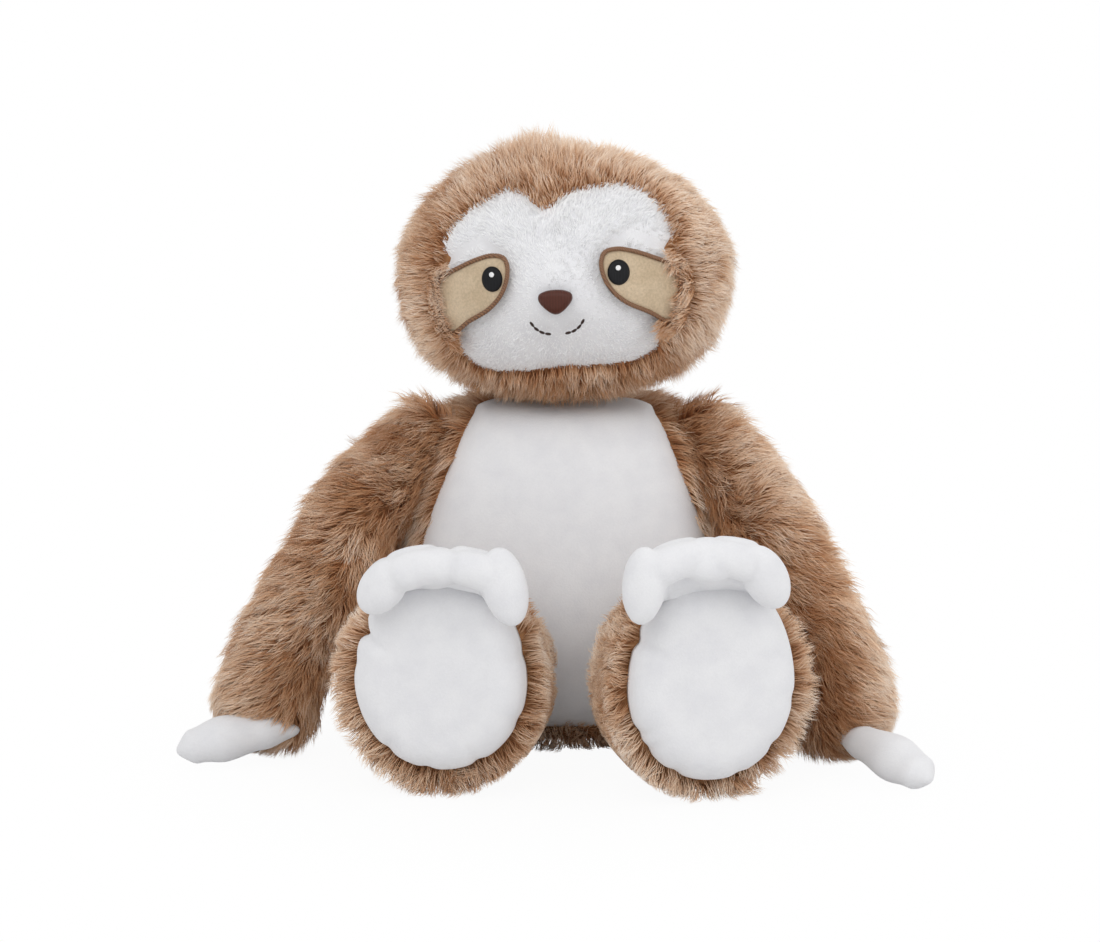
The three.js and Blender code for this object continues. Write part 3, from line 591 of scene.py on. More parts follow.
def short_nap(name, colour, shade, nap, depth, sheen=0.35, grain=0.03):
    """Sheared polyester plush: a dense nap that looks soft, with faint lighter and darker clouds of painted
    sheen where it was stroked.
    nap is how far apart its fibres' tips stand and depth how deep they look, in mm."""
    material, tree = new_material(name)
    place = add(tree, "ShaderNodeTexCoord").outputs["Object"]
    clouds = add(tree, "ShaderNodeTexNoise",
                 links={"Vector": place, "Scale": 1 / (SHEEN_CLOUD * MM), "Detail": 3.0})
    tint = add(tree, "ShaderNodeValToRGB", links={"Fac": clouds.outputs["Fac"]},
               stops=[(0.3, shade), (0.62, colour)])
    fibres = add(tree, "ShaderNodeTexNoise",
                 links={"Vector": place, "Scale": 1 / (nap * MM), "Detail": 4.0, "Roughness": 0.65})
    # The nap is drawn darker where its bump sinks: painted shade in its hollows.
    nap_hollow_shade = add(tree, "ShaderNodeMapRange",
               links={"Value": fibres.outputs["Fac"], "From Min": 0.35, "From Max": 0.65,
                      "To Min": 1 - grain, "To Max": 1.0})
    mixed = add(tree, "ShaderNodeMix", {"data_type": "RGBA", "blend_type": "MULTIPLY"},
                {0: 1.0, 6: tint.outputs["Color"], 7: nap_hollow_shade.outputs["Result"]})
    bump = add(tree, "ShaderNodeBump",
               links={"Height": fibres.outputs["Fac"], "Strength": 0.5, "Distance": depth * MM})
    shader = add(tree, "ShaderNodeBsdfPrincipled", links={
        "Base Color": mixed.outputs[2], "Roughness": 0.9, "Specular IOR Level": 0.2,
        "Sheen Weight": sheen, "Sheen Roughness": 0.5, "Normal": bump.outputs["Normal"],
    })
    add(tree, "ShaderNodeOutputMaterial", links={"Surface": shader.outputs["BSDF"]})
    return material


STITCH_PITCH = 0.8  # real threads lie 0.4 mm apart, too fine to show, so they are drawn coarser, in mm
WAVES_TO_SCALE = 3.2  # the wave texture's bands at a scale of 1, to a unit of length


def satin_stitch(name, colour, shade, axis, roughness=0.4, shine=0.5):
    """Rayon embroidery: close parallel threads with a silky shine along them, their grooves in painted shade.
    """
    material, tree = new_material(name)
    place = add(tree, "ShaderNodeTexCoord")
    threads = add(tree, "ShaderNodeTexWave", {"bands_direction": axis, "wave_profile": "SIN"},
                  {"Vector": place.outputs["Object"], "Scale": 1 / (STITCH_PITCH * MM) / WAVES_TO_SCALE,
                   "Distortion": 0.6, "Detail": 1.0})
    tint = add(tree, "ShaderNodeValToRGB", links={"Fac": threads.outputs["Fac"]},
               stops=[(0.1, shade), (0.6, colour)])
    bump = add(tree, "ShaderNodeBump",
               links={"Height": threads.outputs["Fac"], "Strength": 0.5, "Distance": 0.2 * MM})
    shader = add(tree, "ShaderNodeBsdfPrincipled", links={
        "Base Color": tint.outputs["Color"], "Roughness": roughness, "Specular IOR Level": shine,
        "Normal": bump.outputs["Normal"],
    })
    add(tree, "ShaderNodeOutputMaterial", links={"Surface": shader.outputs["BSDF"]})
    return material


# Long pile, brushed out: dull brown roots under pale tips, which look deep and soft
FUR = faux_fur("acrylic_long_pile_fur",
               [(0.0, "#a6764f"), (0.25, "#dcb491"), (0.6, "#f5ddc4"), (1.0, "#fffaf3")],
               [(0.0, "#caa483"), (0.5, "#f3e6d9"), (1.0, "#ffffff")], 0.55, 0.0)
# Short brushed pile, undyed: its sheen lifts the face's edges to white
FACE_PILE = faux_fur("white_acrylic_pile",
                     [(0.0, "#f8f8f9"), (1.0, "#fefefe")],
                     [(0.0, "#fafafb"), (1.0, "#ffffff")], 0.75, 1.0)
# The knitted cloth that the pile grows from, seen only in the pile's partings: dull, its own brown drawn
# darker as painted shade between the roots
FUR_BACKING_ROOT_SHADE = short_nap("knitted_fur_backing_root_shade", "#a87a54", "#855a38", 1.6, 1.0, 0.0)
# Sheared plush: an even, soft white with a low sheen
WHITE_PLUSH = short_nap("white_minky_plush", "#eaeaec", "#e4e4e7", 1.1, 0.35)
# The same plush, dyed, with a grain that shows as painted shade in the nap's hollows
BEIGE_PLUSH = short_nap("beige_minky_plush", "#d6c1a4", "#c6b092", 1.3, 0.8, grain=0.2)
# Loose crimped fibre: off-white and lumpy
STUFFING = short_nap("polyester_fibre_filling", "#efede8", "#d9d6cf", 4.0, 2.0, 0.2)
# Plain unbleached weave
CALICO = short_nap("woven_calico", "#d8cfbd", "#c6bba6", 0.9, 0.3, 0.1)
# Embroidery: silky on the border, duller where the threads are dark
BROWN_THREAD = satin_stitch("brown_rayon_thread", "#8d6546", "#5c3d29", "DIAGONAL")
NOSE_THREAD = satin_stitch("dark_brown_rayon_thread", "#54261a", "#43200f", "X", 0.45, 0.35)
BLACK_THREAD = satin_stitch("black_rayon_thread", "#15161a", "#08080a", "X", 0.55, 0.25)
MOUTH_THREAD = satin_stitch("dark_mouth_thread", "#40302b", "#261b18", "DIAGONAL", 0.55, 0.25)
WHITE_THREAD = satin_stitch("white_rayon_thread", "#f6f6f6", "#dedede", "X")


# Making pieces

def make_piece(name, corners, faces, body, material, slot, uv=None):
    """A mesh in metres in the row frame, riding on a body. Fibres come as an array of triangles with uv."""
    mesh = bpy.data.meshes.new(name)
    places = ((np.asarray(corners) + TORSO_AT) * MM).astype(np.float32)
    if isinstance(faces, np.ndarray):
        mesh.vertices.add(len(places))
        mesh.vertices.foreach_set("co", places.ravel())
        mesh.loops.add(faces.size)
        mesh.loops.foreach_set("vertex_index", faces.ravel().astype(np.int32))
        mesh.polygons.add(len(faces))
        mesh.polygons.foreach_set("loop_start", np.arange(0, faces.size, 3, dtype=np.int32))
        mesh.update(calc_edges=True)
    else:
        mesh.from_pydata(places.tolist(), [], faces)
    mesh.polygons.foreach_set("use_smooth", np.full(len(mesh.polygons), uv is None))
    if uv is not None:
        layer = mesh.uv_layers.new(name="OFBake")
        layer.data.foreach_set("uv", uv[faces.ravel()].astype(np.float32).ravel())
    mesh.materials.append(material)
    mesh.update()
    piece = bpy.data.objects.new(name, mesh)
    bpy.context.scene.collection.objects.link(piece)
    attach(piece, body)
    return piece


def skin_piece(name, skin, body, material, slot, nodes):
    """A closed skin in place of those nodes."""
    corners, faces = skin.mesh()
    corners[:, 2] = np.maximum(corners[:, 2], CLOTH_GAP)
    piece = make_piece(name, corners, faces, body, material, slot)
    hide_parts(*nodes)


def stuffed_part(part, body, backing, filling, end=""):
    """The knitted backing of a part's fur, and the filling inside it."""
    skin_piece(part + "_fur_backing" + end, backing, body, FUR_BACKING_ROOT_SHADE, "long_pile_fur",
               [part + "_fur_cover" + end])
    skin_piece(part + "_filling" + end, filling, body, STUFFING, "fibre_stuffing",
               [part + "_stuffing" + end])


def sewn_panel(loop, surface, rise, tuck, edge, thickness, rings=18):
    """A closed panel over a form: rise above it, and drawn down by tuck within edge of its outline.
    surface(x, z, inset) gives the form's points."""
    centre = (loop.min(0) + loop.max(0)) / 2
    shares = np.linspace(0, 1, rings) ** 0.7
    places = centre + shares[:, None, None] * (loop - centre)
    gap = (1 - shares)[:, None] * np.linalg.norm(loop - centre, axis=1)
    lift = rise - tuck * (1 - np.sqrt(1 - (1 - ramp(gap, 0, edge)) ** 2))
    x, z = places[..., 0], places[..., 1]
    front = surface(x, z, -lift)
    back = surface(x, z, -(lift - thickness))
    return Skin(np.concatenate([front, back[::-1]]))


def thread(line, radius, closed=False, stitch=0.0, stitch_rise=0.0):
    """Rings of points round a line of thread, with stitches across it where their pitch is given."""
    if closed:
        tangent = unit(np.roll(line, -1, 0) - np.roll(line, 1, 0))
    else:
        tangent = unit(np.gradient(line, axis=0))
    radius = np.broadcast_to(radius, (len(line),)).copy()
    if stitch:
        radius += stitch_rise * np.abs(np.sin(run_along(line) * math.pi / stitch))
    first = unit(np.cross(tangent, np.array([0.0, -1.0, 0.05])))
    second = np.cross(tangent, first)
    turn = np.linspace(0, 2 * math.pi, THREAD_SIDES, endpoint=False)
    ring = np.cos(turn)[None, :, None] * first[:, None] + np.sin(turn)[None, :, None] * second[:, None]
    return line[:, None] + ring * radius[:, None, None]


def closed_ring_mesh(grid):
    """Corners and faces of a tube whose last ring meets its first."""
    rings, sides = grid.shape[:2]
    index = np.arange(rings * sides).reshape(rings, sides)
    faces = np.stack([index, np.roll(index, -1, 1), np.roll(np.roll(index, -1, 0), -1, 1),
                      np.roll(index, -1, 0)], 2).reshape(-1, 4)
    return grid.reshape(-1, 3), faces.tolist()


def merged(meshes):
    """Several meshes' corners and faces as one list each."""
    corners, faces, shift = [], [], 0
    for more_corners, more_faces in meshes:
        corners.append(more_corners)
        faces += [[i + shift for i in face] for face in more_faces]
        shift += len(more_corners)
    return np.vstack(corners), faces


def welded(corners, faces, grain, rounds):
    """Overlapping forms as one stuffed form, its inner corners rounded off."""
    mesh = bpy.data.meshes.new("welding")
    mesh.from_pydata((corners * MM).tolist(), [], faces)
    form = bpy.data.objects.new("welding", mesh)
    bpy.context.scene.collection.objects.link(form)
    remesh = form.modifiers.new("one_form", "REMESH")
    remesh.mode = "VOXEL"
    remesh.voxel_size = grain * MM
    smooth = form.modifiers.new("rounded", "SMOOTH")
    smooth.factor = 0.5
    smooth.iterations = rounds
    done = form.evaluated_get(bpy.context.evaluated_depsgraph_get()).to_mesh()
    corners = np.array([v.co[:] for v in done.vertices]) / MM
    faces = [list(polygon.vertices) for polygon in done.polygons]
    bpy.data.objects.remove(form)
    bpy.data.meshes.remove(mesh)
    return corners, faces


# Fur: closed three-sided fibres in tufts that lean the way they are combed

TONES = 32  # columns of the fibres' map, each a tone
LEAN_SPREAD = 7.0  # degrees
SHORTEST = 3.0
ROOT_DEPTH = 0.8  # how far a fibre's root lies in its backing
TAPER = 0.55


def tufts(centres, normals, combs, lengths, leans, tones, seed, per_tuft=18, width=0.46, spread=4.2,
          gather=0.62, stray=0.2, arc=(0.05, 0.16), joints=2, press=None):
    """Corners, faces and map of all the fibres of these tufts. leans are degrees from the normal, and
    press(points) moves the fibres' middles and ends where something lies against them."""
    rng = np.random.default_rng(seed)
    count = len(centres)
    leans = np.radians(leans + rng.normal(0, LEAN_SPREAD, count))
    lengths = lengths * rng.uniform(0.82, 1.12, count)
    combs = laid(combs, normals)
    sides = np.cross(normals, combs)
    reach = normals * np.cos(leans)[:, None] + combs * np.sin(leans)[:, None]
    to_floor = (centres[:, 2] - FLOOR_GAP) / np.maximum(-reach[:, 2], 0.05)
    lengths = np.minimum(lengths, np.maximum(to_floor, SHORTEST))
    tips = centres + reach * lengths[:, None]
    tips += sides * (rng.normal(0, 0.12, count) * lengths)[:, None]

    # each fibre's root, end and bend
    tuft = np.repeat(np.arange(count), per_tuft)
    total = len(tuft)
    polar = rng.uniform(0, 2 * math.pi, total)
    out = spread * np.sqrt(rng.random(total))
    offset = combs[tuft] * (out * np.cos(polar))[:, None] + sides[tuft] * (out * np.sin(polar))[:, None]
    n = normals[tuft]
    roots = centres[tuft] + offset - n * ROOT_DEPTH
    astray = rng.random(total) < stray
    share = np.where(astray, rng.uniform(0.9, 1.4, total), gather * rng.uniform(0.8, 1.2, total))
    ends = tips[tuft] + offset * share[:, None] + rng.normal(0, 0.07, (total, 3)) * lengths[tuft][:, None]
    length = lengths[tuft] * rng.uniform(0.75, 1.05, total)
    ends = roots + unit(ends - roots) * length[:, None]
    if press:
        ends = press(ends)
    bulge = n * (length * rng.uniform(*arc, total))[:, None]
    wave = rng.normal(0, 0.07, count)[tuft] + rng.normal(0, 0.05, total)
    bulge += sides[tuft] * (length * wave)[:, None]
    first = unit(np.cross(ends - roots, n + 0.01))
    second = unit(np.cross(ends - roots, first))
    girth = width / 2 * rng.uniform(0.75, 1.2, total)

    # rings of three corners at its joints, and one at its tip
    ring_share = np.arange(joints) / joints
    corners = np.zeros((total, 3 * joints + 1, 3))
    for k, t in enumerate(ring_share):
        middle = roots * (1 - t) + ends * t + bulge * 4 * t * (1 - t)
        if press and k:
            middle = press(middle)
        for j, angle in enumerate(2 * math.pi * np.arange(3) / 3):
            around = first * math.cos(angle) + second * math.sin(angle)
            corners[:, 3 * k + j] = middle + around * (girth * (1 - TAPER * t))[:, None]
    corners[:, -1] = ends
    corners[..., 2] = np.maximum(corners[..., 2], FLOOR_GAP)

    pattern = [[0, 2, 1]]
    for k in range(joints - 1):
        for j in range(3):
            a, b = 3 * k + j, 3 * k + (j + 1) % 3
            pattern += [[a, b, b + 3], [a, b + 3, a + 3]]
    last = 3 * (joints - 1)
    pattern += [[last + j, last + (j + 1) % 3, 3 * joints] for j in range(3)]
    per_fibre = 3 * joints + 1
    faces = (np.array(pattern)[None] + per_fibre * np.arange(total)[:, None, None]).reshape(-1, 3)

    # the map: across it the fibre's tone, up it the way from root to tip
    shade = np.clip(tones + rng.normal(0, 0.16, count), 0, 1)
    column = np.floor(np.clip(shade[tuft] + rng.normal(0, 0.12, total), 0, 0.999) * TONES)
    spots = np.concatenate([np.tile([0.15, 0.5, 0.85], joints), [0.5]])
    rise = np.concatenate([np.repeat(ring_share, 3), [1.0]])
    uv = np.zeros((total, per_fibre, 2))
    uv[..., 0] = (column[:, None] + spots) / TONES
    uv[..., 1] = 0.01 + 0.98 * rise
    return corners.reshape(-1, 3), faces, uv.reshape(-1, 2)


def fur_over(name, body, skin, keep, comb, length, lean, paler, seed, material=FUR, slot="long_pile_fur",
             spacing=4.2, parts=1, **more):
    """Tufts all over a skin, where keep(points, normals) holds, as one piece or several side by side.
    comb gives their ways. length, lean and paler are numbers or functions of the points and normals."""
    centres, normals = skin.scatter(spacing, seed)
    kept = keep(centres, normals)
    centres, normals = centres[kept], normals[kept]

    def for_each(value):
        return value(centres, normals) if callable(value) else np.full(len(centres), float(value))

    ways, lengths, leans = comb(centres, normals), for_each(length), for_each(lean)
    tones = 0.5 + 0.34 * ripple(centres, 45, seed + 1) + 0.18 * ripple(centres, 14, seed + 2)
    tones = tones + for_each(paler)
    order = np.argsort(centres[:, 0])
    for k, some in enumerate(np.array_split(order, parts)):
        corners, faces, uv = tufts(centres[some], normals[some], ways[some], lengths[some], leans[some],
                                   tones[some], seed + 10 + k, **more)
        label = name if parts == 1 else f"{name}_{k + 1}"
        make_piece(label, corners, faces, body, material, slot, uv)


def combed(ways, normals, points, *swirls):
    """Ways laid along the surface that then wander: each swirl is by up to about so many degrees, over a
    wavelength, from a seed."""
    ways = laid(ways, normals)
    for degrees, wavelength, seed in swirls:
        turn = np.radians(degrees) * ripple(points, wavelength, seed)
        ways = ways * np.cos(turn)[:, None] + np.cross(normals, ways) * np.sin(turn)[:, None]
    return ways


# Skins and outlines that the fur and the panels are put on

torso = torso_skin(PILE)
head = head_skin(PILE)
arms = {name: arm_skin(name, PILE) for name in SIDES}
legs = {name: leg_skin(name, PILE) for name in SIDES}


def patch_loop(side):
    wide = PATCH_OUTER - PATCH_INNER
    return smooth_line([
        (side * (PATCH_INNER + wide * x), z * (PATCH_TOP if z > 0 else PATCH_BOTTOM) - PATCH_DROP)
        for x, z in PATCH_SHARES
    ], 110, closed=True)


belly_loop = smooth_line(mirrored(BELLY_EDGE), 140, closed=True)
hood_loop = smooth_line(HOOD_EDGE, 160, closed=True)
patch_loops = {name: patch_loop(side) for name, side in SIDES.items()}
nose_loop = smooth_line(mirrored([
    (x * NOSE_HALF_WIDTH, NOSE_TOP - z * NOSE_HEIGHT) for x, z in NOSE_SHARES
]), 60, closed=True)

# Torso. In each part's fur, lengths are in mm and leans in degrees, and paler is added to tones that go
# from 0, dark, to 1, pale, and in places paints light and shade. A ripple's last two numbers are its
# wavelength in mm and its seed.

stuffed_part("torso", "torso", torso, torso_skin(PILE + BACKING))
belly = sewn_panel(belly_loop, torso_over, rise=-2.0, tuck=7.0, edge=14.0, thickness=3.0, rings=28)
skin_piece("belly_plush", belly, "torso", WHITE_PLUSH, "white_plush", ["belly_panel"])


def torso_kept(points, normals):
    """All but the belly panel, the middle of the seat and what the arms and legs hide."""
    x, y, z = points.T
    fold = torso_front(x, np.full(len(x), PANEL_FOLD), PILE)[:, 1]
    up = np.where(z > PANEL_FOLD, PANEL_FOLD + np.maximum(y - fold, 0), z)
    on_belly = inside(belly_loop * PANEL_UNDER_PILE, x, up) & (y < PANEL_BACK_EDGE)
    under = np.hypot(x / TORSO_HALF_WIDTH, y / TORSO_HALF_DEPTH) < BARE_SEAT_SHARE
    hidden = buried(points, [*arms.values(), *legs.values()], depth=9)
    return ~on_belly & ~(under & (z < BARE_SEAT_HEIGHT)) & ~hidden


def torso_combed(points, normals):
    """Down and a little outward, and outward all round where the seat turns under."""
    outward = 0.8 * np.clip(points[:, 0] / 30, -1, 1)
    down = np.stack([outward, np.zeros(len(points)), -np.ones(len(points))], 1)
    turned_under = ramp(points[:, 2], *SEAT_EDGE)[:, None]
    ways = down * (1 - turned_under) + unit(points * [1, 1, 0]) * turned_under
    return combed(ways, normals, points, (28, 60, 11), (16, 18, 12))


def in_crease(points, skins):
    """1 where the pile lies pressed between two stuffed forms, where the fur is also painted with shade."""
    return buried(points, skins, -CREASE_GAP).astype(float)


def low_down(points):
    """From 0 to 1 towards the floor, where the toy's own weight presses the pile flat and the torso's fur is
    painted with shade.
    """
    return ramp(points[:, 2], *FLAT_PILE)


def shoulder(points):
    """From 0 to 1 beside the neck, where the fur lies against the arms' roots and is painted with shade."""
    return ramp(points[:, 2], *SHOULDER_TOP) * ramp(np.abs(points[:, 0]), *SHOULDER_OUT)


def torso_length(points, normals):
    return 16 + 1.5 * ripple(points, 25, 13) - 4 * in_crease(points, arms.values())


def torso_lean(points, normals):
    return 60 + 9 * ripple(points, 19, 14) + 12 * low_down(points)


def torso_paler_painted_shade(points, normals):
    # darker towards the floor, beside the neck and in the creases by the arms: painted shade
    pale = 0.16 - 0.3 * low_down(points) - 0.2 * shoulder(points)
    return pale - 0.55 * in_crease(points, arms.values())


def torso_pressed(points):
    """The pile that the seat presses to the floor, between the legs."""
    low = ramp(points[:, 2], *SEAT_PRESSED) * ramp(points[:, 1], *SEAT_FRONT)
    points[:, 2] -= 0.8 * low * (points[:, 2] - FLOOR_GAP)
    return points


fur_over("torso_fur", "torso", torso, torso_kept, torso_combed, torso_length, torso_lean, torso_paler_painted_shade, 101,
         parts=5, press=torso_pressed)

# Head

stuffed_part("head", "head", head, head_skin(PILE + BACKING))


def within(loops, own):
    """Whether each point of the head's own frame lies in one of the loops, seen from the front."""
    return np.any([inside(loop, own[:, 0], own[:, 2]) for loop in loops], 0)


def head_kept(points, normals):
    """All but the face, the eye patches and what the torso hides."""
    own = in_head(points)
    on_face = within([hood_loop, *patch_loops.values()], own) & (own[:, 1] < 0)
    return ~on_face & ~buried(points, [torso], depth=4)


def head_combed(points, normals):
    """Outward and back round the face, in under the chin, and down behind."""
    own = in_head(points)
    back = ramp(own[:, 1], *HEAD_BACK)[:, None]
    chin = ramp(own[:, 2], *CHIN_COMBED)[:, None]
    out = unit(own * [1, 0, 1])
    ways = (out + np.array([0, 0.64, 0]) * (1 - 2 * chin)) * (1 - back) + np.array([0, 0.1, -1]) * back
    return combed(ways, normals, points, (26, 45, 21), (16, 15, 22))


def flattened(points):
    """From 0 to 1 where the fur is pressed down, high on the toy's left."""
    own = in_head(points)
    return ramp(own[:, 0], *FLAT_OUT) * ramp(own[:, 2], *FLAT_UP)


def crown(points):
    """From 0 to 1 towards the tuft that stands up on top, a little to one side."""
    x, y, z = in_head(points).T
    far = ((x - CROWN_AT[0]) / CROWN_HALVES[0]) ** 2 + ((y - CROWN_AT[1]) / CROWN_HALVES[1]) ** 2
    return np.exp(-far) * (z > CROWN_LOWEST)


def near_loops(points, loops):
    """From 0 to 1 towards the nearest of some loops on the front of the head."""
    own = in_head(points)
    gap = np.min(np.linalg.norm(own[:, None, ::2] - np.vstack(list(loops))[None], axis=2), 1)
    return np.exp(-(gap / SEAM_REACH) ** 2) * (own[:, 1] < 0)


def at_seam(points):
    """From 0 to 1 towards the face and the patches, where the pile leans in over the seam."""
    return near_loops(points, [hood_loop, *patch_loops.values()])


def head_length(points, normals):
    length = 15.5 + 6 * crown(points) - 2 * flattened(points) + 1.5 * ripple(points, 25, 23)
    return length * (1 - 0.35 * at_seam(points))


def head_lean(points, normals):
    lean = 58 - 38 * crown(points) + 12 * flattened(points) + 9 * ripple(points, 19, 24)
    lean = lean - 30 * ramp(normals[:, 2], *CHIN_FACING)
    return lean + (SEAM_LEAN - lean) * at_seam(points)


def head_paler_painted_light_and_shade(points, normals):
    own = in_head(points)
    beside = np.clip(own[:, 0] / 80, -0.2, 1)
    # paler on top and on the toy's left, which is painted light; darker under the chin, which is painted
    # shade
    pale = 0.05 + 0.22 * ramp(own[:, 2], *HEAD_HIGH) + 0.2 * beside
    return pale - 0.42 * ramp(own[:, 2], *CHIN_SHADED)


fur_over("head_fur", "head", head, head_kept, head_combed, head_length, head_lean, head_paler_painted_light_and_shade, 201, parts=5)


def fringe_kept(points, normals):
    outside = ~within([hood_loop, *patch_loops.values()], in_head(points))
    return (near_loops(points, patch_loops.values()) > FRINGE_NEARNESS) & outside


def fringe_combed(points, normals):
    own = in_head(points)
    ways = head_placed(own - unit(own * [1, 0, 0.4])) - points
    return combed(ways, normals, points, (30, 15, 26))


def fringe_length(points, normals):
    return 10.5 + 1.5 * ripple(points, 12, 27)


def fringe_paler(points, normals):
    return head_paler_painted_light_and_shade(points, normals) - 0.2


# the hood's pile that falls over the patches' outer ends
fur_over("hood_fringe", "head", head_skin(0.8), fringe_kept, fringe_combed, fringe_length, 70, fringe_paler,
         211, spacing=2.2, per_tuft=10, width=0.5, spread=2.6)

# Face


def brow_hollow(x, z):
    """From 0 to 1 along the hollow over each eye patch."""
    top = np.interp(np.abs(x), [PATCH_INNER, 40, 60], [4, 12, 3])
    return np.exp(-((z - top - 6) / 5) ** 2) * ramp(np.abs(x), *BROW_OUT)


def face_front(x, z, inset):
    return head_front(x, z, inset + BROW_DEPTH * brow_hollow(x, z))


face = sewn_panel(hood_loop * 1.06, face_front, rise=-6.0, tuck=5.0, edge=12.0, thickness=3.0,
                  rings=FACE_RINGS)
skin_piece("face_plush", face, "head", WHITE_PLUSH, "white_plush", ["face_panel"])


def face_kept(points, normals):
    """All but the patches, the nose and the hollows over the eyes."""
    own = in_head(points)
    middles = [(loop, loop.mean(0)) for loop in (*patch_loops.values(), nose_loop)]
    covered = within([middle + (loop - middle) * 1.02 for loop, middle in middles], own)
    hollow = brow_hollow(own[:, 0], own[:, 2])
    return within([hood_loop * 1.03], own) & (hollow < BARE_HOLLOW) & ~covered


def face_combed(points, normals):
    own = in_head(points)
    out = unit((own - [0, 0, -15]) * [1, 0, 1] + [0, 0, 0.001])
    return combed(head_placed(own + out) - points, normals, points, (35, 18, 31))


def face_length(points, normals):
    """Shorter on the muzzle, below and in the hollows."""
    own = in_head(points)
    away = np.hypot(own[:, 0] / MUZZLE_HALVES[0], (own[:, 2] + MUZZLE_DROP) / MUZZLE_HALVES[1])
    length = (2.6 + 2.6 * ramp(away, *OFF_MUZZLE)) * (1 - 0.45 * ramp(own[:, 2], *FACE_LOW))
    return length * (1 - 0.7 * brow_hollow(own[:, 0], own[:, 2]))


fur_over("face_pile", "head", Skin(face.points[:FACE_RINGS]), face_kept, face_combed, face_length, 70, 0, 301,
         FACE_PILE, "white_plush", spacing=2.6, per_tuft=8, width=0.5, spread=2.0, gather=0.5, stray=0.1)


def dress_eye(name, side):
    """The patch with its stitched border, and the embroidered pupil with its glint."""
    patch = sewn_panel(patch_loops[name], head_front, rise=-0.8, tuck=0.8, edge=3.0, thickness=2.0, rings=12)
    skin_piece("eye_plush_" + name, patch, "head", BEIGE_PLUSH, "beige_plush", ["eye_patch_" + name])
    rim = smooth_line(patch_loops[name], 260, closed=True)
    rim_line = head_front(rim[:, 0], rim[:, 1], inset=0.4)
    border = thread(rim_line, radius=1.0, closed=True, stitch=0.85, stitch_rise=0.3)
    piece = make_piece("eye_satin_border_" + name, *closed_ring_mesh(border), "head", BROWN_THREAD,
                       "brown_thread")
    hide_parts("eye_border_" + name)
    turn = np.linspace(0, 2 * math.pi, 40, endpoint=False)
    oval = np.stack([np.cos(turn), np.sin(turn)], 1)
    middle = np.array([side * PUPIL_AT[0], PUPIL_AT[1]])
    pupil_loop = oval * PUPIL_HALVES + middle
    pupil = sewn_panel(pupil_loop, head_front, rise=0.9, tuck=1.4, edge=3.0, thickness=1.6, rings=12)
    skin_piece("pupil_satin_" + name, pupil, "head", BLACK_THREAD, "black_thread", ["pupil_" + name])
    glint_loop = oval * GLINT_RADIUS + middle + [0, GLINT_RAISE]
    glint = sewn_panel(glint_loop, head_front, rise=1.3, tuck=0.4, edge=0.8, thickness=0.6, rings=8)
    skin_piece("glint_satin_" + name, glint, "head", WHITE_THREAD, "white_thread", ["eye_glint_" + name])


def sew_mouth(name, side):
    """Half the smile, as a row of dashes that thin out at their ends."""
    mouth = smooth_line([(side * x, z) for x, z in SMILE], MOUTH_STITCHES * STITCH_STEPS)
    radii = MOUTH_RADIUS * np.maximum(np.sin(np.linspace(0.05, math.pi - 0.05, STITCH_STEPS)), 0.02) ** 0.3
    stitches = []
    for part in np.split(head_front(mouth[:, 0], mouth[:, 1], inset=0.6), MOUTH_STITCHES):
        start, end = (part[[k], None].repeat(THREAD_SIDES, 1) for k in (0, -1))
        stitches.append(Skin(np.concatenate([start, thread(part, radii), end])).mesh())
    piece = make_piece("mouth_stitches_" + name, *merged(stitches), "head", MOUTH_THREAD, "brown_thread")
    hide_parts("smile_" + name)


for side_name, side_sign in SIDES.items():
    dress_eye(side_name, side_sign)
    sew_mouth(side_name, side_sign)

nose = sewn_panel(nose_loop, head_front, rise=1.6, tuck=2.6, edge=4.0, thickness=2.0, rings=14)
skin_piece("nose_satin", nose, "head", NOSE_THREAD, "dark_brown_thread", ["nose"])

# Neck, with the hood's pile coming down over it behind

neck = stuffed_tube(NECK_LINE, (1, 0, 0), NECK_GIRTHS, start_cap=12, end_cap=12, sides=40, rings=40)
skin_piece("neck_filling", neck, "neck", STUFFING, "fibre_stuffing", ["neck_stuffing"])


def neck_kept(points, normals):
    return (points[:, 2] > NECK_FUR[0]) & (points[:, 2] < NECK_FUR[1]) & (points[:, 1] > NECK_FUR_FRONT)


def neck_combed(points, normals):
    return np.tile([0.0, 0.2, -1.0], (len(points), 1))


fur_over("neck_fur", "neck", neck, neck_kept, neck_combed, 12, 55, -0.1, 231, spacing=3.2, per_tuft=14,
         width=0.55, spread=3.4)

# The pellet bag in the seat

bag = stuffed_tube(BAG_LINE, (1, 0, 0), BAG_GIRTHS, start_cap=8, end_cap=8, sides=64, rings=40)
skin_piece("pellet_bag", bag, "torso", CALICO, "calico", ["seat_pellet_bag"])

# Arms


def pressed_round(points, middle, radius, share):
    """Points drawn in towards a ball of that radius, by that share of the way."""
    out = points - middle
    far = np.linalg.norm(out, axis=1) / radius
    return middle + out * (1 + (1 / np.maximum(far, 1) - 1) * share)[:, None]


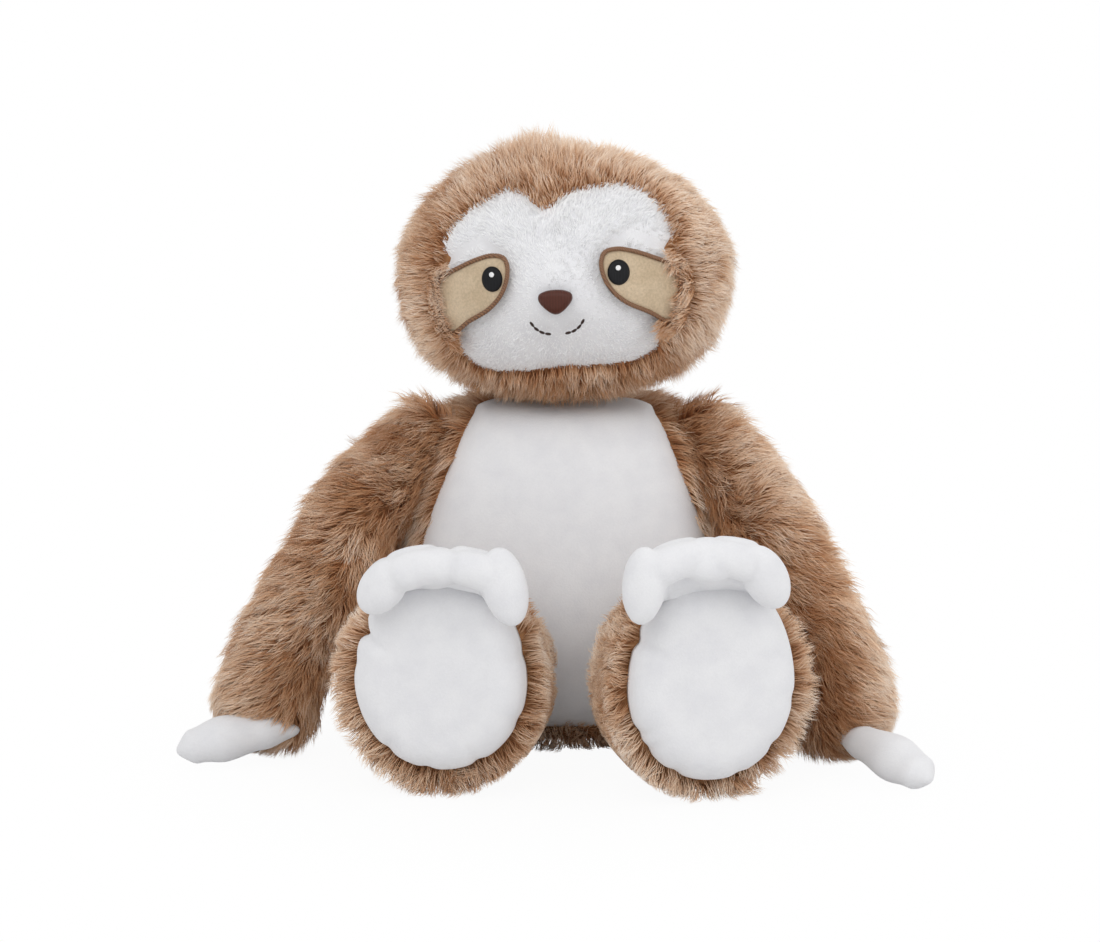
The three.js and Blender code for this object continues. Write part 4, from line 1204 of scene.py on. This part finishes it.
def dress_arm(name, side):
    arm, body, placed = arms[name], "arm_" + name, in_arm(name)
    stuffed_part("arm", body, arm, arm_skin(name, PILE + BACKING), "_" + name)
    line = arm.points.mean(1)
    hand_middle = placed(np.array([side * ARM_REACH, 0, HAND_RADIUS - SHOULDER_AT[2]]))
    root_middle = placed(np.array([side * (ARM_ROOT[0] + 12), 0, ARM_ROOT[1] - 7]))

    def arm_kept(points, normals):
        return ~buried(points, [torso], depth=7)

    def beside_neck(points):
        """From 0 to 1 at the arm's root, where its pile stands up against the jaw."""
        return ramp(np.abs(points[:, 0]), *ROOT_IN) * ramp(points[:, 2], *ROOT_UP)

    def under_hand(points, normals):
        """From 0 to 1 low on the hand's inner side."""
        return ramp(points[:, 2], *HAND_LOW) * ramp(side * normals[:, 0], *HAND_INWARD)

    def arm_combed(points, normals):
        """Down the arm and outward, and up at its root."""
        nearest = np.argmin(np.linalg.norm(points[:, None] - line[None], axis=2), 1)
        ways = 0.6 * unit(np.gradient(line, axis=0))[nearest] + np.array([0.8 * side, 0.3, -0.1])
        ways = ways + beside_neck(points)[:, None] * np.array([0.5 * side, 0, 0.5])
        return combed(ways, normals, points, (38, 60, 41 + side), (16, 18, 45 + side))

    def arm_length(points, normals):
        return 17 + 1.5 * ripple(points, 25, 45 + side) + 10 * under_hand(points, normals)

    def arm_lean(points, normals):
        lean = 68 - 10 * beside_neck(points) + 8 * ripple(points, 19, 47 + side)
        return lean - 30 * under_hand(points, normals)

    def arm_paler_painted_light_and_shade(points, normals):
        """Paler on the outer side and darker on the inner, which is painted light and shade; darker in the
        crease, which is painted shade, and half way down.
        """
        outer = 0.45 * np.clip(side * normals[:, 0] - 0.15, -0.7, 0.75)
        half_way = np.exp(-((points[:, 2] - ARM_DARK_AT) / ARM_DARK_REACH) ** 2)
        return outer - 0.35 * in_crease(points, [torso]) - (0.14 - 0.1 * side) * half_way

    def arm_pressed(points):
        """The root's pile lies round under the jaw, and the hand's pile round and flat on the floor."""
        out = points - root_middle
        high = ramp(out[:, 2], 0, PRESS_REACH) * ramp(side * out[:, 0], 12, -8)
        points = pressed_round(points, root_middle, SHOULDER_RADIUS + 1, high)
        out = points - hand_middle
        inner = np.clip(-side * out[:, 0] / HAND_RADIUS + 0.3, 0, 1)
        low = ramp(out[:, 2], 0, -PRESS_REACH)
        return pressed_round(points, hand_middle, HAND_RADIUS + 1 + 6 * inner, low)

    fur_over("arm_fur_" + name, body, arm, arm_kept, arm_combed, arm_length, arm_lean, arm_paler_painted_light_and_shade, 401 + side,
             parts=3, gather=0.55, arc=(0.1, 0.2), press=arm_pressed)


def hand_claw(name, side):
    """One stuffed claw, sewn into the fur at the hand's lower end and lying on the floor."""
    placed = in_arm(name)
    arm_turn = -side * ARM_TURNS[name]
    seam_way = turned_about_z(np.array([side, 0.0, 0.0]), -side * HAND_SEAM_TURNS[name] - arm_turn)
    seam_at = np.array([side * ARM_REACH, 0, HAND_SEAM_UP - SHOULDER_AT[2]]) + seam_way * HAND_SEAM_OUT
    pointing = side * (90 - HAND_CLAW_TURNS[name]) - arm_turn
    line = [(0, 10, 6), (0, -16, 5), (0, -38, 1.5), (0, -HAND_CLAW_LENGTHS[name], -3.5)]
    claw = stuffed_tube(line, (-1, 0, 0), HAND_CLAW_GIRTHS, start_cap=5, end_cap=9, sides=40, rings=44)
    claw = claw.moved(lambda points: placed(turned_about_z(points, pointing) + seam_at))
    skin_piece("hand_claw_plush_" + name, claw, "claw_" + name, WHITE_PLUSH, "white_plush",
               ["hand_claw_" + name])


for side_name, side_sign in SIDES.items():
    dress_arm(side_name, side_sign)
    hand_claw(side_name, side_sign)

# Legs


def sole_outline(name, side):
    """A rounded oval, fuller above, drawn in where its seam puckers."""
    turn = np.linspace(0, 2 * math.pi, 160, endpoint=False)
    pucker = np.ones(len(turn))
    for place, depth in SOLE_DENTS[name]:
        off = (np.degrees(turn) - place + 180) % 360 - 180
        pucker -= depth * np.exp(-(off / DENT_REACH) ** 2)
    shift, half_wide, half_above, half_below = SOLE_SHAPES[name]
    fuller = 1 - 0.28 * np.maximum(np.sin(turn), 0)
    wide = np.sign(np.cos(turn)) * np.abs(np.cos(turn)) ** fuller
    tall = np.sin(turn) * np.where(turn < math.pi, half_above, half_below)
    return np.stack([wide * half_wide * pucker + side * shift, tall * pucker + SOLE_HEIGHT], 1)


def dress_leg(name, side):
    leg, body, placed = legs[name], "leg_" + name, in_leg(name)
    stuffed_part("leg", body, leg, leg_skin(name, PILE + BACKING), "_" + name)
    origin = placed(np.zeros(3))
    sole_loop = sole_outline(name, side)

    def in_own(points):
        return turned_about_z(points - origin, -side * LEG_SPLAYS[name])

    def leg_kept(points, normals):
        """All but the sole, the underside and what the torso hides."""
        own = in_own(points)
        free = sole_loop * SOLE_UNDER_PILE + [0, (1 - SOLE_UNDER_PILE) * SOLE_HEIGHT]
        on_sole = inside(free, own[:, 0], own[:, 2]) & (own[:, 1] < SOLE_FRONT)
        under = (points[:, 2] < BARE_HEIGHT) & (normals[:, 2] < BARE_FACING) & (own[:, 1] > BARE_DEPTH)
        return ~on_sole & ~under & ~buried(points, [torso], depth=7)

    def leg_combed(points, normals):
        """Back along the leg, outward round the sole's rim, and forward under the heel."""
        own = in_own(points)
        out = unit((own - [0, 0, FOOT_RAISE]) * [1, 0, 1])
        rim = ramp(own[:, 1], *FOOT_RIM)[:, None]
        ways = out * rim + np.array([0, 1, -0.25]) * (1 - rim)
        below = (ramp(points[:, 2], *HEEL_LOW) * ramp(own[:, 1], *HEEL_FRONT))[:, None]
        ways = ways * (1 - below) + unit(own * [1, 0, 0] + [0, -50, 0]) * below
        ways = turned_about_z(ways, side * LEG_SPLAYS[name])
        return combed(ways, normals, points, (20, 24, 61 + side))

    def leg_length(points, normals):
        return 16 + ripple(points, 18, 65 + side) + 2 * low_down(points)

    def leg_lean(points, normals):
        return 54 - 14 * ramp(side * normals[:, 0], 0, 1) + 8 * ripple(points, 16, 67 + side)

    def leg_paler_painted_light(points, normals):
        # paler on the side that faces the toy's left: painted light
        return 0.18 + 0.1 * normals[:, 0]

    def leg_pressed(points):
        """The pile lies in an even ring round the foot, and low down it stays behind the sole."""
        own = in_own(points)
        x, z = own[:, 0] - FOOT_SHIFTS[name] * side, own[:, 2] - FOOT_RAISE
        shrink = 1 / np.maximum(np.hypot(x / (FOOT_HALVES[0] + 1.5), z / FOOT_HALVES[1]), 1) - 1
        own[:, 0] += x * shrink
        own[:, 2] += z * shrink
        own[:, 1] = np.maximum(own[:, 1], 4 - LEG_LENGTH - 9 * ramp(own[:, 2], *HEEL_UP))
        own = placed(own)
        own[:, 2] = np.maximum(own[:, 2], FLOOR_GAP + 0.3)
        return own

    fur_over("leg_fur_" + name, body, leg, leg_kept, leg_combed, leg_length, leg_lean, leg_paler_painted_light, 601 + side,
             parts=3, spacing=4.8, per_tuft=26, spread=4.8, stray=0.04, gather=0.6, arc=(0.12, 0.24),
             press=leg_pressed)

    def sole_surface(x, z, inset):
        return placed(np.stack([x, inset - LEG_LENGTH, z], -1))

    sole = sewn_panel(sole_loop, sole_surface, rise=5.5, tuck=13.0, edge=16.0, thickness=4.0, rings=22)
    skin_piece("sole_plush_" + name, sole, body, WHITE_PLUSH, "white_plush", ["sole_" + name])


def toe_claws(name, side):
    """Three stuffed lobes on one strip, sewn in over the top of the sole."""
    turn_in = -side * TOE_TURNS_IN[name]
    forms = []
    for across, up, half_length, half_width, slant in TOE_LOBES[name]:
        a = math.radians(slant)
        outward = (math.copysign(math.cos(a), across), 0, -math.sin(a))
        forms.append(stuffed_tube([
            (0.85 * across, 8, 0),
            (0.93 * across + 0.4 * turn_in, -14, 0.6 * up),
            (across + turn_in, -TOE_REACH, up),
        ], outward, [(0, 12, 9), (0.4, 13, 10), (1, half_length, half_width)],
            start_cap=8, end_cap=10, sides=36, rings=40))
    middle_up = TOE_LOBES[name][0][1] - 1
    for across, up, *_ in TOE_LOBES[name][1:]:
        for depth, share in TOE_WEB_SHARES:
            shift = turn_in * -depth / TOE_REACH
            forms.append(stuffed_tube([
                (shift, depth, share * middle_up),
                (0.5 * across + shift, depth, share * (middle_up - 3)),
                (0.88 * across + shift, depth, share * (up + 4)),
            ], (0, 1, 0), [(0, 8, 9), (1, 8, 10)], start_cap=8, end_cap=8, sides=28, rings=40))
    forms.append(stuffed_tube(TOE_SEAM_LINE, (0, 1, 0), [(0, 9, 8), (1, 9, 8)],
                              start_cap=8, end_cap=8, sides=28, rings=40))
    placed = in_leg(name)
    seam_at = np.array([0, 8 - LEG_LENGTH, FOOT_RAISE + FOOT_HALVES[1] - 1])
    corners, faces = merged([form.moved(lambda points: placed(points + seam_at)).mesh() for form in forms])
    corners, faces = welded(corners, faces, grain=1.2, rounds=10)
    piece = make_piece("toe_claws_plush_" + name, corners, faces, "toes_" + name, WHITE_PLUSH, "white_plush")
    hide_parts("toe_claws_" + name)


for side_name, side_sign in SIDES.items():
    dress_leg(side_name, side_sign)
    toe_claws(side_name, side_sign)

# Camera

camera_data = bpy.data.cameras.new("camera")
camera_data.lens = LENS
camera_data.sensor_width = SENSOR
camera_data.sensor_fit = "HORIZONTAL"
camera_data.clip_end = 30
camera = bpy.data.objects.new("camera", camera_data)
bpy.context.scene.collection.objects.link(camera)
lift = math.radians(CAMERA_ELEVATION)
aim = Vector(CAMERA_AIM) * MM
camera.location = aim + Vector((0, -math.cos(lift), math.sin(lift))) * CAMERA_DISTANCE * MM
camera.rotation_euler = (math.pi / 2 - lift, 0, 0)
bpy.context.scene.camera = camera

# Floor: matt paper to the lamps, and glowing white to the camera but for a faint shade near the toy

floor_mesh = bpy.data.meshes.new("studio_floor")
half = FLOOR_SIZE / 2
floor_mesh.from_pydata([(-half, -half, 0), (half, -half, 0), (half, half, 0), (-half, half, 0)], [],
                       [(0, 1, 2, 3)])
floor = bpy.data.objects.new("studio_floor", floor_mesh)
bpy.context.scene.collection.objects.link(floor)
floor_material, tree = new_material("white_paper_sweep")
rays = add(tree, "ShaderNodeLightPath")
paper = add(tree, "ShaderNodeBsdfDiffuse", links={"Color": linear("#ececec")})
glow = add(tree, "ShaderNodeEmission", links={"Color": (1, 1, 1, 1), "Strength": 1.0})
place = add(tree, "ShaderNodeTexCoord")
away = add(tree, "ShaderNodeVectorMath", {"operation": "LENGTH"}, {0: place.outputs["Object"]})
share = add(tree, "ShaderNodeMapRange", {"interpolation_type": "SMOOTHSTEP"},
            {"Value": away.outputs["Value"], "From Min": SHADE_REACH[0], "From Max": SHADE_REACH[1],
             "To Min": 0.95, "To Max": 1.0})
seen = add(tree, "ShaderNodeMath", {"operation": "MULTIPLY"},
           {0: rays.outputs["Is Camera Ray"], 1: share.outputs["Result"]})
both = add(tree, "ShaderNodeMixShader", links={0: seen.outputs[0], 1: paper.outputs[0], 2: glow.outputs[0]})
add(tree, "ShaderNodeOutputMaterial", links={"Surface": both.outputs[0]})
floor_mesh.materials.append(floor_material)

# Light: a white studio all round, dimmer to the toy than to the camera, and three softboxes

world = bpy.data.worlds.new("studio")
bpy.context.scene.world = world
world.use_nodes = True
world.node_tree.nodes.clear()
tree = world.node_tree
rays = add(tree, "ShaderNodeLightPath")
strength = add(tree, "ShaderNodeMapRange",
               links={"Value": rays.outputs["Is Camera Ray"], "To Min": 0.7, "To Max": 1.0})
background = add(tree, "ShaderNodeBackground",
                 links={"Color": (1, 1, 1, 1), "Strength": strength.outputs["Result"]})
add(tree, "ShaderNodeOutputWorld", links={"Surface": background.outputs[0]})

for label, place, size, watts in SOFTBOXES:
    lamp_data = bpy.data.lights.new(label, "AREA")
    lamp_data.energy = watts
    lamp_data.size = size
    lamp = bpy.data.objects.new(label, lamp_data)
    lamp.location = place
    lamp.rotation_euler = (Vector(LAMPS_AIM) - Vector(place)).to_track_quat("-Z", "Y").to_euler()
    bpy.context.scene.collection.objects.link(lamp)

bpy.context.scene.view_settings.view_transform = "Standard"
